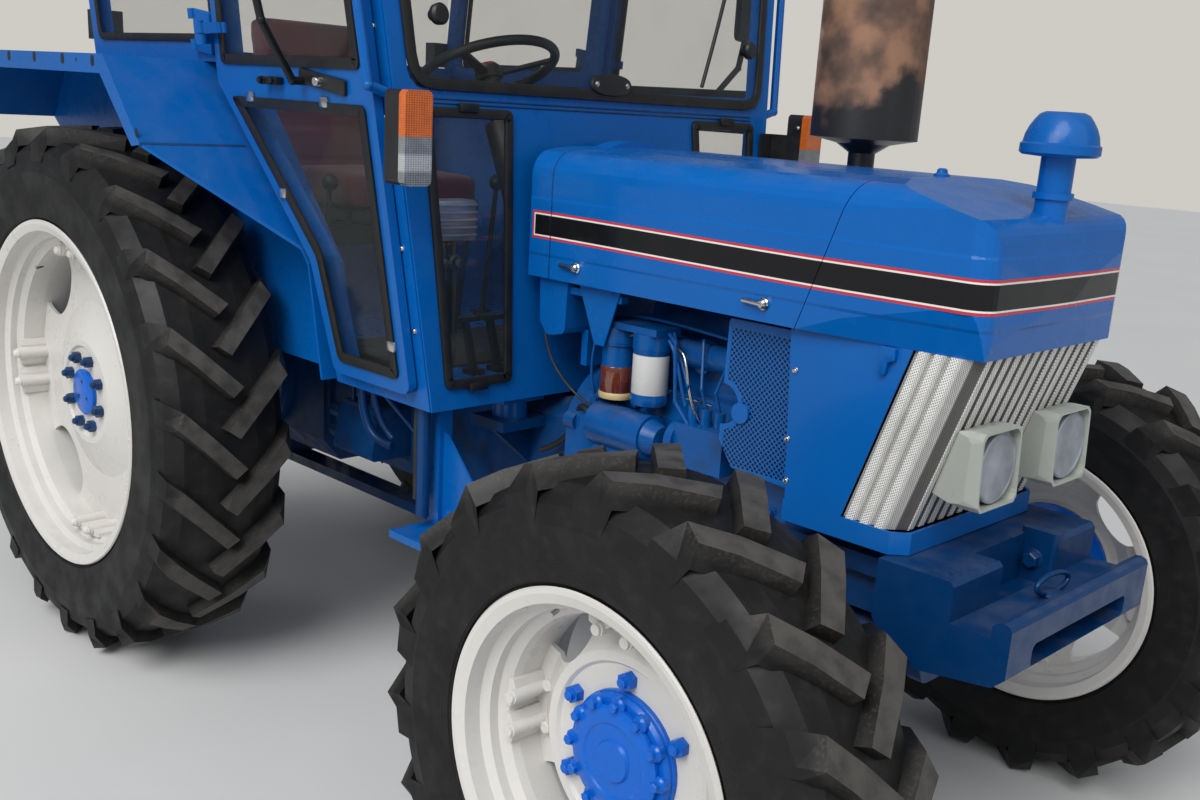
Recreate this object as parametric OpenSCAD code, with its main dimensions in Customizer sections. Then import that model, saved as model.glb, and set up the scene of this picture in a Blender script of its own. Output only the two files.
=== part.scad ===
// Four-wheel-drive utility tractor with a narrow cab, standing on straight wheels.
// Millimetres. +X points forward, +Y to the tractor's left, +Z up, the ground is z = 0.
// Modules are written from the rear axle's centre line and moved to the frame by from_axle().

/* [Chassis] */
// Distance between the front and rear axles
wheelbase = 2200; // [2150:10:2260]
// Front axle to the front lip of the weight
front_reach = 428; // [420:2:450]
// Rear axle to the ball ends of the lower links
rear_reach = 905; // [880:5:940]
// Height of the gearbox underside
gearbox_low = 560; // [540:5:580]
// Half width of the engine block
engine_half_w = 170; // [160:5:180]

/* [Rear wheels] */
// Rear tyre radius at the lug tips
rear_tyre_r = 745; // [735:5:755]
// Rear tyre section width
rear_tyre_w = 345; // [330:5:355]
// Distance between the rear wheel centre planes
rear_track = 1448; // [1440:4:1480]
// Rear rim flange radius
rear_rim_r = 490; // [480:2:500]
// Lugs on each half of a rear tyre
rear_lugs = 22; // [18:1:24]
// Rear lug height over the carcass
rear_lug_h = 32; // [24:2:38]

/* [Front wheels] */
// Front tyre radius at the lug tips
front_tyre_r = 540; // [530:5:548]
// Front tyre section width
front_tyre_w = 285; // [270:5:295]
// Distance between the front wheel centre planes
front_track = 1586; // [1570:4:1620]
// Front rim flange radius
front_rim_r = 330; // [322:2:336]
// Lugs on each half of a front tyre
front_lugs = 18; // [15:1:20]
// Front lug height over the carcass
front_lug_h = 30; // [22:2:34]
// Half distance between the king pins
king_y = 605; // [600:1:612]

/* [Hood] */
// Half width of the hood
hood_half_w = 290; // [284:2:296]
// Height of the hood's top
hood_top = 1535; // [1520:5:1545]
// Height of the hood's lower side edge
hood_low = 1236; // [1226:2:1242]
// Sheet thickness of hood, panels and fenders
sheet = 4; // [3:0.5:5]
// Front axle to the front face of the nose
nose_reach = 290; // [280:5:300]

/* [Cab] */
// Height of the floor pan's underside
floor_z = 940; // [936:2:944]
// Height of the roof's top
roof_top = 2440; // [2420:5:2460]
// Half width of the cab at the floor
cab_foot = 575; // [570:1:580]
// Outward lean of the cab sides in degrees
side_lean = 5.3; // [5:0.1:5.6]
// Rearward rake of the front wall in degrees
front_rake = 6; // [5.6:0.1:6.2]
// Width of the square cab posts
post = 44; // [40:1:48]
// Height of the waist rail and the fender tops
waist_z = 1675; // [1665:5:1685]

/* [Hidden] */
$fn = 48;
LEFT = 1;
RIGHT = -1;
paint = "#1c5fb4";
dark_paint = "#123f7c";
cream = "#e9e4d6";
rubber = "#26262a";
black = "#1b1b1d";
rust = "#6b4a38";
glass = "#a8c0bc";
silver = "#d8d6ce";
rear_x = (rear_reach - wheelbase - front_tyre_r) / 2;
gap = 0.3;
bend_swell = 1.2;

module from_axle() {
    translate([rear_x, 0, 0]) children();
}

// The same form on both sides of the tractor
module both_sides() {
    children();
    mirror([0, 1, 0]) children();
}

module on_side(side) {
    mirror([0, side > 0 ? 0 : 1, 0]) children();
}

// A box between two corners
module block(a, b) {
    translate(a) cube(b - a);
}

// Stands a form drawn along +Z on the line from p towards q
module aim(p, q) {
    d = q - p;
    flat = norm([d[0], d[1]]);
    translate(p) rotate([0, atan2(flat, d[2]), flat < 0.001 ? 0 : atan2(d[1], d[0])]) children();
}

module bar(p, q, w = 40, t = 40) {
    aim(p, q) translate([-w / 2, -t / 2, 0]) cube([w, t, norm(q - p)]);
}

// A round tube along a list of points, with a ball at each bend; thin lines are drawn eight-sided
module tube_path(pts, r) {
    for (i = [0 : len(pts) - 2]) {
        aim(pts[i], pts[i + 1]) cylinder(r = r, h = norm(pts[i + 1] - pts[i]), $fn = r < 6 ? 8 : 24);
        if (i > 0) translate(pts[i]) sphere(r = r + bend_swell, $fn = r < 6 ? 8 : 24);
    }
}

// Cylinders along Y, X and Z between two stations
module round_y(x, z, y0, y1, r, r2 = undef) {
    translate([x, y0, z]) rotate([-90, 0, 0]) cylinder(r1 = r, r2 = r2 == undef ? r : r2, h = y1 - y0);
}
module round_x(x0, x1, y, z, r, r2 = undef) {
    translate([x0, y, z]) rotate([0, 90, 0]) cylinder(r1 = r, r2 = r2 == undef ? r : r2, h = x1 - x0);
}
module round_z(x, y, z0, z1, r, r2 = undef) {
    translate([x, y, z0]) cylinder(r1 = r, r2 = r2 == undef ? r : r2, h = z1 - z0);
}

// A flat outline in x and z, or in y and z, given thickness along the third axis
module plate_y(y0, y1, pts) {
    translate([0, y1, 0]) rotate([90, 0, 0]) linear_extrude(y1 - y0) polygon(pts);
}
module plate_x(x0, x1, pts) {
    translate([x0, 0, 0]) rotate([90, 0, 90]) linear_extrude(x1 - x0) polygon(pts);
}
module plate_z(z0, z1, pts) {
    translate([0, 0, z0]) linear_extrude(z1 - z0) polygon(pts);
}

function unit(v) = v / norm(v);
function arc(cx, cy, r, a0, a1, n = 5) =
    [for (i = [0 : n]) [cx + r * cos(a0 + (a1 - a0) * i / n), cy + r * sin(a0 + (a1 - a0) * i / n)]];
function rect(x0, y0, x1, y1) = [[x0, y0], [x1, y0], [x1, y1], [x0, y1]];
function mirrored(pts) = concat(pts, [for (i = [len(pts) - 1 : -1 : 0]) [-pts[i][0], pts[i][1]]]);

// An outline moved inwards by d (anticlockwise outlines) and one with rounded corners
function inset(p, d) = let (n = len(p)) [for (i = [0 : n - 1])
    let (u = unit(p[i] - p[(i + n - 1) % n]), v = unit(p[(i + 1) % n] - p[i]))
        p[i] + d * ([-u[1], u[0]] + [-v[1], v[0]]) / (1 + u * v)];
function soften(p, r, n = 3) = let (m = len(p)) [for (i = [0 : m - 1])
    let (u = unit(p[(i + m - 1) % m] - p[i]), v = unit(p[(i + 1) % m] - p[i]), h = acos(u * v) / 2,
        c = p[i] + unit(u + v) * r / sin(h), a = u * r / tan(h) + p[i] - c, b = v * r / tan(h) + p[i] - c)
            for (k = [0 : n]) c + r * unit(a * (n - k) + b * k)];

// Cab planes: half width, and front face of the wall, at a height
function side_y(z) = cab_foot + (z - floor_z) * tan(side_lean);
function front_x(z) = cab_front_foot - (z - floor_z) * tan(front_rake);
cab_front_foot = 1335;
cab_rear = -165;
door_rear = 575;
roof_h = 110;
top_rail = roof_top - roof_h;

engine_x0 = 1500;
engine_x1 = wheelbase - 160;
fan_z = 1030;
nose_x = wheelbase + nose_reach;
sump_low = 565;
block_low = 640;
block_top = 1010;
head_top = 1130;
bell_x0 = 1420;
gearbox_x0 = 330;
gearbox_half_w = 190;
gearbox_top = 925;
rear_case_x0 = -170;
rear_case_half_w = 210;
rear_case_low = 520;
lift_case_top = 1085;
lift_case_half_w = 180;
trumpet_r = 92;
trumpet_end = 560;
rear_wheel_y = rear_track / 2;
front_wheel_y = front_track / 2;

module engine() {
    color(dark_paint) from_axle() {
        plate_x(engine_x0, engine_x1, mirrored([[-130, block_low], [-engine_half_w, block_low + 50],
            [-engine_half_w, block_top - 60], [-engine_half_w + 26, block_top]]));
        plate_y(-130, 130, soften([[engine_x0 + 15, sump_low + 40], [engine_x0 + 60, sump_low],
            [engine_x1 - 40, sump_low + 12], [engine_x1 - 15, block_low], [engine_x0 + 15,
                block_low]], 12));
        plate_x(engine_x0 + 8, engine_x1 - 8, mirrored([[-120, block_top], [-120, head_top - 14],
            [-108, head_top]]));
        plate_x(engine_x0 + 25, engine_x1 - 25, soften([[-74, head_top], [74, head_top],
            [64, head_top + 62], [-64, head_top + 62]], 16));
        rib_step = (engine_x1 - engine_x0 - 156) / 3;
        for (x = [engine_x0 + 60 : rib_step : engine_x1 - 90]) both_sides()
            block([x, engine_half_w - 1, 700], [x + 12, engine_half_w + 9, 846]);
        intersection() {
            round_x(bell_x0, engine_x0, 0, 800, 262);
            block([bell_x0, -235, 600], [engine_x0, 235, 1030]);
        }
        both_sides() for (z = [690, 900]) round_x(bell_x0, bell_x0 + 34, 228, z, 20);
    }
}

valve_x = 560;
shaft_y = -122;
shaft_z = 516;
axle_input_x = wheelbase - 196;
module drive_train() {
    shoulder = 44;
    color(dark_paint) from_axle() difference() {
        union() {
            plate_x(gearbox_x0, bell_x0, mirrored([[-gearbox_half_w + 50, gearbox_low],
                [-gearbox_half_w, gearbox_low + 60], [-gearbox_half_w, gearbox_top - shoulder],
                [-gearbox_half_w + shoulder, gearbox_top]]));
            for (x = [gearbox_x0, 760, bell_x0 - 18]) plate_x(x, x + 18, mirrored([[-gearbox_half_w + 40,
                gearbox_low - 10], [-gearbox_half_w - 12, gearbox_low + 50], [-gearbox_half_w - 12, 900],
                [-gearbox_half_w + 36, 938]]));
            plate_x(rear_case_x0, gearbox_x0, mirrored([[-150, rear_case_low], [-rear_case_half_w, 590],
                [-rear_case_half_w, 890], [-160, gearbox_top]]));
            plate_y(-lift_case_half_w, lift_case_half_w, soften([[rear_case_x0, gearbox_top - 10],
                [230, gearbox_top - 10], [210, 1000], [30, lift_case_top], [-130, lift_case_top],
                [rear_case_x0, 1040]], 14));
            both_sides() {
                round_y(0, rear_tyre_r, rear_case_half_w - 1, rear_case_half_w + 26, 168);
                round_y(0, rear_tyre_r, rear_case_half_w, 330, 150, trumpet_r);
                round_y(0, rear_tyre_r, 330, trumpet_end, trumpet_r);
                round_y(0, rear_tyre_r, trumpet_end - 26, trumpet_end, 126);
                block([1180, gearbox_half_w, 850], [1300, 330, 875]);
                plate_x(1230, 1246, [[gearbox_half_w, 740], [gearbox_half_w, 851], [320, 851]]);
                block([-60, 365, rear_tyre_r], [60, 435, rear_tyre_r + 112]);
                plate_y(196, 216, soften([[-110, 390], [-10, 390], [40, 560], [-160, 560]], 14));
                round_y(hitch_x, link_z, 200, 268, link_pin_r);
                round_y(hitch_x, lift_z, lift_case_half_w - 1, lift_case_half_w + 6, 52);
            }
            plate_x(900, 1180, soften([[-170, 466], [70, 466], [120, gearbox_low + 1],
                [-140, gearbox_low + 1]], 12));
            round_x(1179, axle_input_x - 6, shaft_y, shaft_z, 34);
            round_x(1179, 1230, shaft_y, shaft_z, 46);
        }
        both_sides() round_y(0, rear_tyre_r, trumpet_end - 40, trumpet_end + 1, 60);
    }
}

pivot_z = 560;
pivot_r = 32;
support_x0 = engine_x1;
support_x1 = wheelbase + 146;
leg_t = 34;

module front_support() {
    color(dark_paint) from_axle() {
        plate_y(-165, 165, [[support_x0, 690], [support_x0 + 60, 670], [support_x1 - 40, 670],
            [support_x1, 690], [support_x1, 850], [support_x0, 850]]);
        for (x = [support_x0, support_x1 - leg_t])
            plate_x(x, x + leg_t, soften([[-60, pivot_z - 55], [60, pivot_z - 55], [140, 690], [-140,
                690]], 30));
        round_x(support_x0 + leg_t - 1, support_x1 - leg_t + 1, 0, pivot_z, pivot_r);
        both_sides() block([support_x0, 164, 760], [support_x1 - 20, 200, 800]);
    }
}

fork_in = 92;
fork_out = 120;
fork_x = 54;
fork_neck = 38;
king_pin_r = 19;
module front_axle() {
    color(dark_paint) from_axle() difference() {
        union() {
            translate([wheelbase, shaft_y + 10, front_tyre_r - 4]) sphere(r = 106);
            round_x(support_x0 + leg_t + 6, support_x1 - leg_t - 6, 0, pivot_z, 58);
            round_y(wheelbase, front_tyre_r, -250, -40, 60, 84);
            round_y(wheelbase, front_tyre_r, -41, 170, 84, 57);
            both_sides() {
                round_y(wheelbase, front_tyre_r, 160, 470, 57, 50);
                intersection() {
                    plate_x(wheelbase - fork_x, wheelbase + fork_x, [[440, front_tyre_r - 60],
                        [474, front_tyre_r - fork_out], [king_y + 50, front_tyre_r - fork_out],
                        [king_y + 50, front_tyre_r - fork_in], [king_y - 72, front_tyre_r - fork_in],
                        [king_y - 88, front_tyre_r - 70], [king_y - 88, front_tyre_r + 70],
                        [king_y - 72, front_tyre_r + fork_in], [king_y + 50, front_tyre_r + fork_in],
                        [king_y + 50, front_tyre_r + fork_out], [474, front_tyre_r + fork_out],
                        [440, front_tyre_r + 60]]);
                    plate_z(front_tyre_r - 130, front_tyre_r + 130, concat([[wheelbase + fork_neck, 430],
                        [wheelbase + fork_neck, king_y - 60]],
                        arc(wheelbase, king_y - 4, fork_x + 5, 0, 180, 8),
                        [[wheelbase - fork_neck, king_y - 60], [wheelbase - fork_neck, 430]]));
                }
                for (z = [front_tyre_r - fork_out - 16, front_tyre_r + fork_out])
                    round_z(wheelbase, king_y, z, z + 16, 34);
            }
            round_x(axle_input_x, wheelbase - 60, shaft_y, shaft_z, 42);
        }
        round_x(wheelbase - 300, wheelbase + 300, 0, pivot_z, pivot_r + gap);
        both_sides() round_z(wheelbase, king_y, front_tyre_r - fork_out + 6, front_tyre_r + fork_out - 6,
            king_pin_r + gap);
    }
}

steer_deg = 38;
steer_arm = 200;
ball_pin_r = 11;
ball_pin_low = front_tyre_r - 132;
arm_z = front_tyre_r - 68;
module knuckle(side) {
    color(dark_paint) from_axle() on_side(side) {
        round_z(wheelbase, king_y, front_tyre_r - fork_in + 2, front_tyre_r + fork_in - 2, 52);
        round_z(wheelbase, king_y, front_tyre_r - fork_out + 8, front_tyre_r + fork_out - 8, king_pin_r);
        round_y(wheelbase, front_tyre_r, king_y + 6, front_wheel_y - 62, 82, 74);
        round_y(wheelbase, front_tyre_r, front_wheel_y - 64, front_wheel_y - 40, spindle_r);
        plate_z(arm_z - 14, arm_z + 14, [[wheelbase - 20, king_y - 34], [wheelbase - 12, king_y + 36],
            [wheelbase - 100, king_y + 26],
            [wheelbase - steer_arm - 12, king_y + 24],
            [wheelbase - steer_arm - 24, king_y + 10],
            [wheelbase - steer_arm - 24, king_y - 10],
            [wheelbase - steer_arm - 12, king_y - 24],
            [wheelbase - 110, king_y - 34]]);
        round_z(wheelbase - steer_arm, king_y, ball_pin_low, arm_z - 6, ball_pin_r);
    }
}
module knuckle_left() { knuckle(LEFT); }
module knuckle_right() { knuckle(RIGHT); }

tie_rod_z = front_tyre_r - 108;
module tie_rod() {
    y = king_y;
    color(black) from_axle() difference() {
        union() {
            round_y(wheelbase - steer_arm, tie_rod_z, -y + 20, y - 20, 13);
            both_sides() {
                round_z(wheelbase - steer_arm, y, tie_rod_z - 17, tie_rod_z + 17, 27);
                round_y(wheelbase - steer_arm, tie_rod_z, y - 110, y - 24, 18);
            }
        }
        both_sides() round_z(wheelbase - steer_arm, y, tie_rod_z - 30, tie_rod_z + 30, ball_pin_r + gap);
    }
}

// Half of a rim's ring, r against y: outside from the middle to the lip, then the inside back
function rim_half(r, w) = [[r - 62, 30], [r - 58, w - 92], [r - 42, w - 78], [r - 40, w - 58],
    [r - 22, w - 48], [r - 22, w - 12], [r - 3, w - 9], [r, w - 4], [r - 3, w], [r - 12, w - 1],
    [r - 31, w - 8], [r - 33, w - 42], [r - 49, w - 53], [r - 50, w - 72], [r - 66, w - 86], [r - 70, 30]];

module turned(pts, fn = 96) {
    rotate([-90, 0, 0]) rotate_extrude($fn = fn) polygon(pts);
}

// A ring, a lobed disc and four pairs of ridged brackets about the Y axis, outer face to +Y.
// bracket: half angle between a pair, half width, outer end along the axle, ridge radius
// disc columns: radius, place along the axle, from the bolt face outwards to the ring
module rim(r, half_w, disc, disc_t, bore_r, nuts, stud_r, pcd, window_r, window_at, bracket) {
    half = rim_half(r, half_w);
    n = len(disc) - 1;
    turned(concat(half, [for (i = [len(half) - 1 : -1 : 0]) [half[i][0], -half[i][1]]]));
    difference() {
        turned(concat([[0, disc[0][1]]], disc, [for (i = [n : -1 : 0]) disc[i] - [0, disc_t]],
            [[0, disc[0][1] - disc_t]]));
        round_y(0, 0, disc[0][1] - 50, disc[0][1] + 50, bore_r);
        for (a = [45 : 90 : 315]) rotate([0, a, 0]) round_y(window_at, 0, -200, 200, window_r);
        for (i = [0 : nuts - 1]) rotate([0, (i + 0.5) * 360 / nuts, 0])
            round_y(pcd / 2, 0, disc[0][1] - 50, disc[0][1] + 50, stud_r + gap);
    }
    for (a = [0 : 90 : 270], k = [-1, 1]) rotate([0, a + k * bracket[0], 0]) {
        plate_y(disc[n][1] - disc_t - 16, bracket[2], [[r - 66, -bracket[1]], [r - 66, bracket[1]],
            [r - 78, bracket[1]], [r - 86, bracket[1] - 16], [r - 86, 16 - bracket[1]], [r - 78,
                -bracket[1]]]);
        round_y(r - 86, 0, disc[n][1] - disc_t - 16, bracket[2] + 8, bracket[3]);
        round_y(r - 86, 0, bracket[2] + 7, bracket[2] + 14, bracket[3] - 3);
    }
}

front_rim_w = 134;
front_bolt_y = 8;
front_pcd = 290;
front_bore_r = 118;
module front_rim(side) {
    color(cream) from_axle() on_side(side) translate([wheelbase, front_wheel_y, front_tyre_r])
        rim(front_rim_r, front_rim_w, [[166, front_bolt_y], [172, 15], [190, 15], [232, -18],
            [front_rim_r - 67, -18]],
            10, front_bore_r + gap, 6, 9, front_pcd, 78, front_rim_r - 62, [8, 28, 56, 13]);
}
module front_rim_left() { front_rim(LEFT); }
module front_rim_right() { front_rim(RIGHT); }

rear_rim_w = 165;
rear_bolt_y = 66;
rear_pcd = 203;
rear_bore_r = 50;
module rear_rim(side) {
    color(cream) from_axle() on_side(side) translate([0, rear_wheel_y, rear_tyre_r])
        rim(rear_rim_r, rear_rim_w, [[128, rear_bolt_y], [134, 73], [150, 73], [255, 30],
            [rear_rim_r - 120, 18],
            [rear_rim_r - 67, 18]], 10, rear_bore_r + gap, 8, 9, rear_pcd, 118, rear_rim_r - 74,
            [6.2, 40, 92, 17]);
}
module rear_rim_left() { rear_rim(LEFT); }
module rear_rim_right() { rear_rim(RIGHT); }

// Hub with its studs and hexagon nuts, standing through the disc's bore
module hub(profile, nuts, pcd, bolt_y, disc_t) {
    turned(profile);
    for (i = [0 : nuts - 1]) rotate([0, (i + 0.5) * 360 / nuts, 0]) translate([pcd / 2, 0, 0]) {
        round_y(0, 0, bolt_y - disc_t - 1, bolt_y + 26, 9);
        rotate([-90, 0, 0]) translate([0, 0, bolt_y]) cylinder(r = 17, h = 18, $fn = 6);
    }
}

spindle_r = 44;
module front_hub(side) {
    y0 = -60;
    color(paint) from_axle() on_side(side) translate([wheelbase, front_wheel_y, front_tyre_r])
        hub([[spindle_r + gap, y0], [108, y0], [116, y0 + 16], [116, -14], [164, -14], [164,
            front_bolt_y - 10],
            [front_bore_r, front_bolt_y - 10], [front_bore_r, 24], [112, 30], [96, 30], [92, 22], [60,
                22], [54, 30],
            [0, 30], [0, -37], [spindle_r + gap, -37]], 6, front_pcd, front_bolt_y, 10);
}
module front_hub_left() { front_hub(LEFT); }
module front_hub_right() { front_hub(RIGHT); }

module rear_hub(side) {
    y0 = trumpet_end - 36 - rear_wheel_y;
    color(paint) from_axle() on_side(side) translate([0, rear_wheel_y, rear_tyre_r])
        hub([[0, y0], [60 - gap, y0], [60 - gap, -60], [76, -40], [76, 20], [100, 36], [130, 40],
            [130, rear_bolt_y - 10], [rear_bore_r, rear_bolt_y - 10], [rear_bore_r, 70], [44, 76], [0, 76]],
            8, rear_pcd, rear_bolt_y, 10);
}
module rear_hub_left() { rear_hub(LEFT); }
module rear_hub_right() { rear_hub(RIGHT); }

// A lug's four corners at one station: angle a round the wheel, place y across the tread,
// inner and outer radius, half thickness t and the turn of the section
function lug_station(a, y, r0, r1, t, lean) =
    [for (c = [[-1, r0], [1, r0], [1, r1], [-1, r1]])
        let (s = c[0] * (c[1] == r1 ? t : t + 8), aa = a + s * cos(lean) / c[1] * 180 / PI)
            [c[1] * sin(aa), y + s * sin(lean), c[1] * cos(aa)]];

// One curved lug from the tread's middle out over the shoulder; side is +1 or -1
// columns: share of the swing, place across the tread, drop of the top, share of t, turn
lug_table = [[1.00, -0.03, 0, 1.0, 52], [0.50, 0.23, 1, 1.0, 47], [0.14, 0.42, 5, 1.1, 26],
    [0.00, 0.496, 48, 1.2, 0]];
module lug(a, side, r, w, h, swing, t) {
    sections = [for (c = lug_table) lug_station(a + c[0] * swing, side * c[1] * w,
        r - h - 14 - c[2] * 1.1, r - c[2], c[3] * t, side * c[4])];
    n = len(sections);
    faces = concat([[3, 2, 1, 0]], [for (i = [0 : n - 2], k = [0 : 3])
        [4 * i + (k + 1) % 4, 4 * i + 4 + (k + 1) % 4, 4 * i + 4 + k, 4 * i + k]],
        [[4 * n - 4, 4 * n - 3, 4 * n - 2, 4 * n - 1]]);
    polyhedron(points = [for (q = sections) each q],
        faces = side > 0 ? faces : [for (f = faces) [for (i = [3 : -1 : 0]) f[i]]], convexity = 4);
}

module tyre(r, w, rim_r, rim_w, h, lugs, swing, t) {
    c = r - h;
    seat = rim_r - 22 + gap;
    half = w / 2;
    wall = (c + rim_r) / 2;
    bead = [[seat, rim_w - 13], [rim_r - 2, rim_w - 12], [rim_r + 4, rim_w - 8], [rim_r + 10, rim_w],
        [wall - 26, half * 0.985], [wall + 16, half], [c - 40, half * 0.95], [c - 8, half * 0.74], [c,
            half * 0.4]];
    turned(concat(bead, [for (i = [len(bead) - 1 : -1 : 0]) [bead[i][0], -bead[i][1]]]));
    for (i = [0 : lugs - 1]) {
        lug(i * 360 / lugs, 1, r, w, h, swing, t);
        lug((i + 0.5) * 360 / lugs, -1, r, w, h, swing, t);
    }
}

module front_tyre(side) {
    color(rubber) from_axle() on_side(side) translate([wheelbase, front_wheel_y, front_tyre_r])
        tyre(front_tyre_r, front_tyre_w, front_rim_r, front_rim_w, front_lug_h, front_lugs, 16, 23);
}
module front_tyre_left() { front_tyre(LEFT); }
module front_tyre_right() { front_tyre(RIGHT); }

module rear_tyre(side) {
    color(rubber) from_axle() on_side(side) translate([0, rear_wheel_y, rear_tyre_r])
        tyre(rear_tyre_r, rear_tyre_w, rear_rim_r, rear_rim_w, rear_lug_h, rear_lugs, 14, 20);
}
module rear_tyre_left() { rear_tyre(LEFT); }
module rear_tyre_right() { rear_tyre(RIGHT); }

radiator_x0 = wheelbase - 70;
module radiator() {
    color(black) from_axle() translate([radiator_x0, 0, 0]) {
        block([0, -218, 852], [70, 218, 1190]);
        block([-6, -226, 1190], [76, 226, 1224]);
        difference() {
            round_x(-78, 1, 0, fan_z, 178);
            round_x(-79, -1, 0, fan_z, 168);
        }
        round_x(-70, 1, 0, fan_z, 34);
        for (a = [0 : 60 : 300]) translate([-56, 0, fan_z]) rotate([a, 0, 0]) translate([0, -22, 20])
            rotate([0, 0, 30]) cube([4, 48, 138]);
        round_x(engine_x1 - radiator_x0, -69, 0, fan_z, 22);
    }
}

tank_x0 = 1350;
tank_x1 = 1446;
module fuel_tank() {
    color(paint) from_axle() {
        plate_y(-272, 272, soften([[tank_x0, 1130], [tank_x0 + 26, 1100], [tank_x1 - 10, 1112],
            [tank_x1, 1400],
            [tank_x0 - 14, 1400]], 16));
        both_sides() {
            plate_y(262, 266, [[1470, 1236], [1530, 1104], [1560, 1104], [1604, 1236]]);
            block([tank_x1 - 20, 240, 1206], [1604, 262, 1222]);
        }
        both_sides() block([bell_x0 + 2, 120, 1030], [tank_x1 - 4, 200, 1116]);
    }
}

filter_y = -engine_half_w - 42;
filter_x = [engine_x0 + 56, engine_x0 + 160];
pump_x = [engine_x0 + 262, engine_x0 + 400];
injector_step = (engine_x1 - engine_x0) * 0.16;
module engine_fittings() {
    y = -engine_half_w;
    color(paint) from_axle() difference() {
        union() {
            round_x(1520, 1690, y - 58, 915, 50);
            round_x(1690, 1724, y - 58, 915, 42, 30);
            round_x(1534, 1634, y - 66, 852, 23);
            block([1500, y - 70, 840], [1520, y + 1, 972]);
            block([pump_x[0], y - 64, 872], [pump_x[1], y + 1, 968]);
            for (i = [0 : 2]) round_z(pump_x[0] + 26 + i * 38, y - 34, 967, 1006, 13);
            round_x(pump_x[0] - 20, pump_x[0] + 1, y - 32, 920, 44);
            plate_y(y - 80, y + 1, [[1516, 1147], [1704, 1147], [1704, 1162], [1516, 1162]]);
            plate_y(y - 20, y + 1, [[1570, 960], [1600, 960], [1640, 1162], [1530, 1162]]);
            round_x(engine_x0 + 136, engine_x1 - 140, -156, 1108, 30);
            for (i = [0 : 2]) round_y(engine_x0 + 160 + i * 1.2 * injector_step, 1090, -160, -110, 22);
            round_x(engine_x1 - 141, engine_x1 - 30, -156, 1108, 34);
            for (i = [0 : 2]) tube_path([[pump_x[0] + 26 + i * 38, y - 34, 1004],
                [pump_x[0] + 18 + i * 40, y - 50, 1050],
                [engine_x0 + 206 + i * injector_step, y - 22, 1150],
                [engine_x0 + 200 + i * injector_step, -104, 1124]], 3.5);
            tube_path([[pump_x[0] - 46, y - 50, 1154], [pump_x[0] - 18, y - 60, 1140],
                [pump_x[0] - 10, y - 56, 1010], [pump_x[0] + 28, y - 50, 964]], 4.5);
            plate_y(y - 12, y + 1, soften([[1425, 905], [1450, 890], [1512, 930], [1512, 980], [1430,
                975]], 10));
            round_z(1560, 40, head_top + 40, head_top + 84, 24);
            round_x(1530, 1700, -y + 40, 900, 46);
            block([1560, -y - 1, 860], [1640, -y + 40, 930]);
            plate_y(-y - 1, -y + 30, soften([[engine_x1 - 208, 760], [engine_x1 - 100, 760],
                [engine_x1 - 100, 980], [engine_x1 - 208, 990]], 14));
        }
        block([engine_x0 - 90, y, sump_low], [engine_x1, -y, block_top]);
        plate_x(bell_x0, engine_x0, rect(-240, 600, 240, 1030));
        block([engine_x0 + 8, -120, block_top - 1], [engine_x1 - 8, 120, head_top]);
        plate_x(engine_x0 + 25, engine_x1 - 25, [[-74, head_top - 1], [74, head_top - 1], [64,
            head_top + 62],
            [-64, head_top + 62]]);
        for (x = filter_x) round_z(x, filter_y, 980, 1147, 44 + gap);
    }
}

module fuel_filters() {
    color(paint) from_axle() for (i = [0, 1]) {
        round_z(filter_x[i], filter_y, 1112, 1147, 44);
        round_z(filter_x[i], filter_y, 986, 1112, i == 0 ? 37 : 41);
        round_z(filter_x[i], filter_y, 976, 987, 12);
    }
}

// Half of the hood's section, y against z, from the top's middle to the lower edge
function hood_half(w, top, low, crown, r) = concat([[0, top], [r + 60 - w, top - crown * 0.3]],
    arc(r - w, top - crown - r, r, 98, 180, 5), [[-w, low]]);
module hood_section(x0, x1, inset) {
    plate_x(x0, x1, mirrored([for (q = hood_half(hood_half_w - inset, hood_top - inset,
        hood_low - (inset > 0 ? 1 : 0), 10, 58)) q]));
}

// Everything ahead of the seam between hood and nose
module ahead_of_seam(back = 0) {
    x = wheelbase - back;
    plate_y(-400, 400, [[x - 103, hood_low - 3], [x + 500, hood_low - 3], [x + 500, hood_top + 65],
        [x + 26, hood_top + 65], [x - 43, 1402]]);
}

hood_x0 = 1322;
seam = 2;
module hood() {
    color(paint) from_axle() {
        difference() {
            hood_section(hood_x0, wheelbase + 100, 0);
            hood_section(hood_x0 - 1, wheelbase + 101, sheet);
            ahead_of_seam(seam);
            round_z(exhaust_x, exhaust_y, 1400, 1600, exhaust_r + 6);
        }
        both_sides() block([tank_x1 + 2, panel_y - 10, hood_low],
            [wheelbase - 108, hood_half_w, hood_low + 3]);
        intersection() {
            round_x(hood_x0, hood_x0 + 52, 0, hood_top - 270, 284);
            block([hood_x0, -210, hood_top - 12], [hood_x0 + 52, 210, hood_top + 20]);
        }
    }
}

module nose_form(inset) {
    x0 = wheelbase - 140;
    x1 = nose_x - inset;
    t = hood_top - inset;
    low = hood_low - (inset > 0 ? 1 : 0);
    w = hood_half_w - inset;
    difference() {
        intersection() {
            hood_section(x0, x1 + 110, inset);
            plate_y(-400, 400, concat([[x0, low], [x1 - 8, low], [x1 + 3, 1321], [x1, 1372]],
                arc(x1 - 52, t - 62 - 34, 44, 4, 68, 4), [[x0 + 170, t], [x0, t]]));
            plate_z(low, low + 400, concat([[x0, -w], [x0 + 140, -w]], arc(x1 - 50, 54 - w, 46, -84, -8, 5),
                [[x1 + 4, 0]], arc(x1 - 50, w - 54, 46, 8, 84, 5), [[x0 + 140, w], [x0, w]]));
        }
        both_sides() translate([x0 + 40, w, low]) rotate([0, 0, -5.4]) rotate([-14.5, 0, 0])
            translate([-40, 0, -120]) cube([600, 60, 204]);
    }
}

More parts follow.
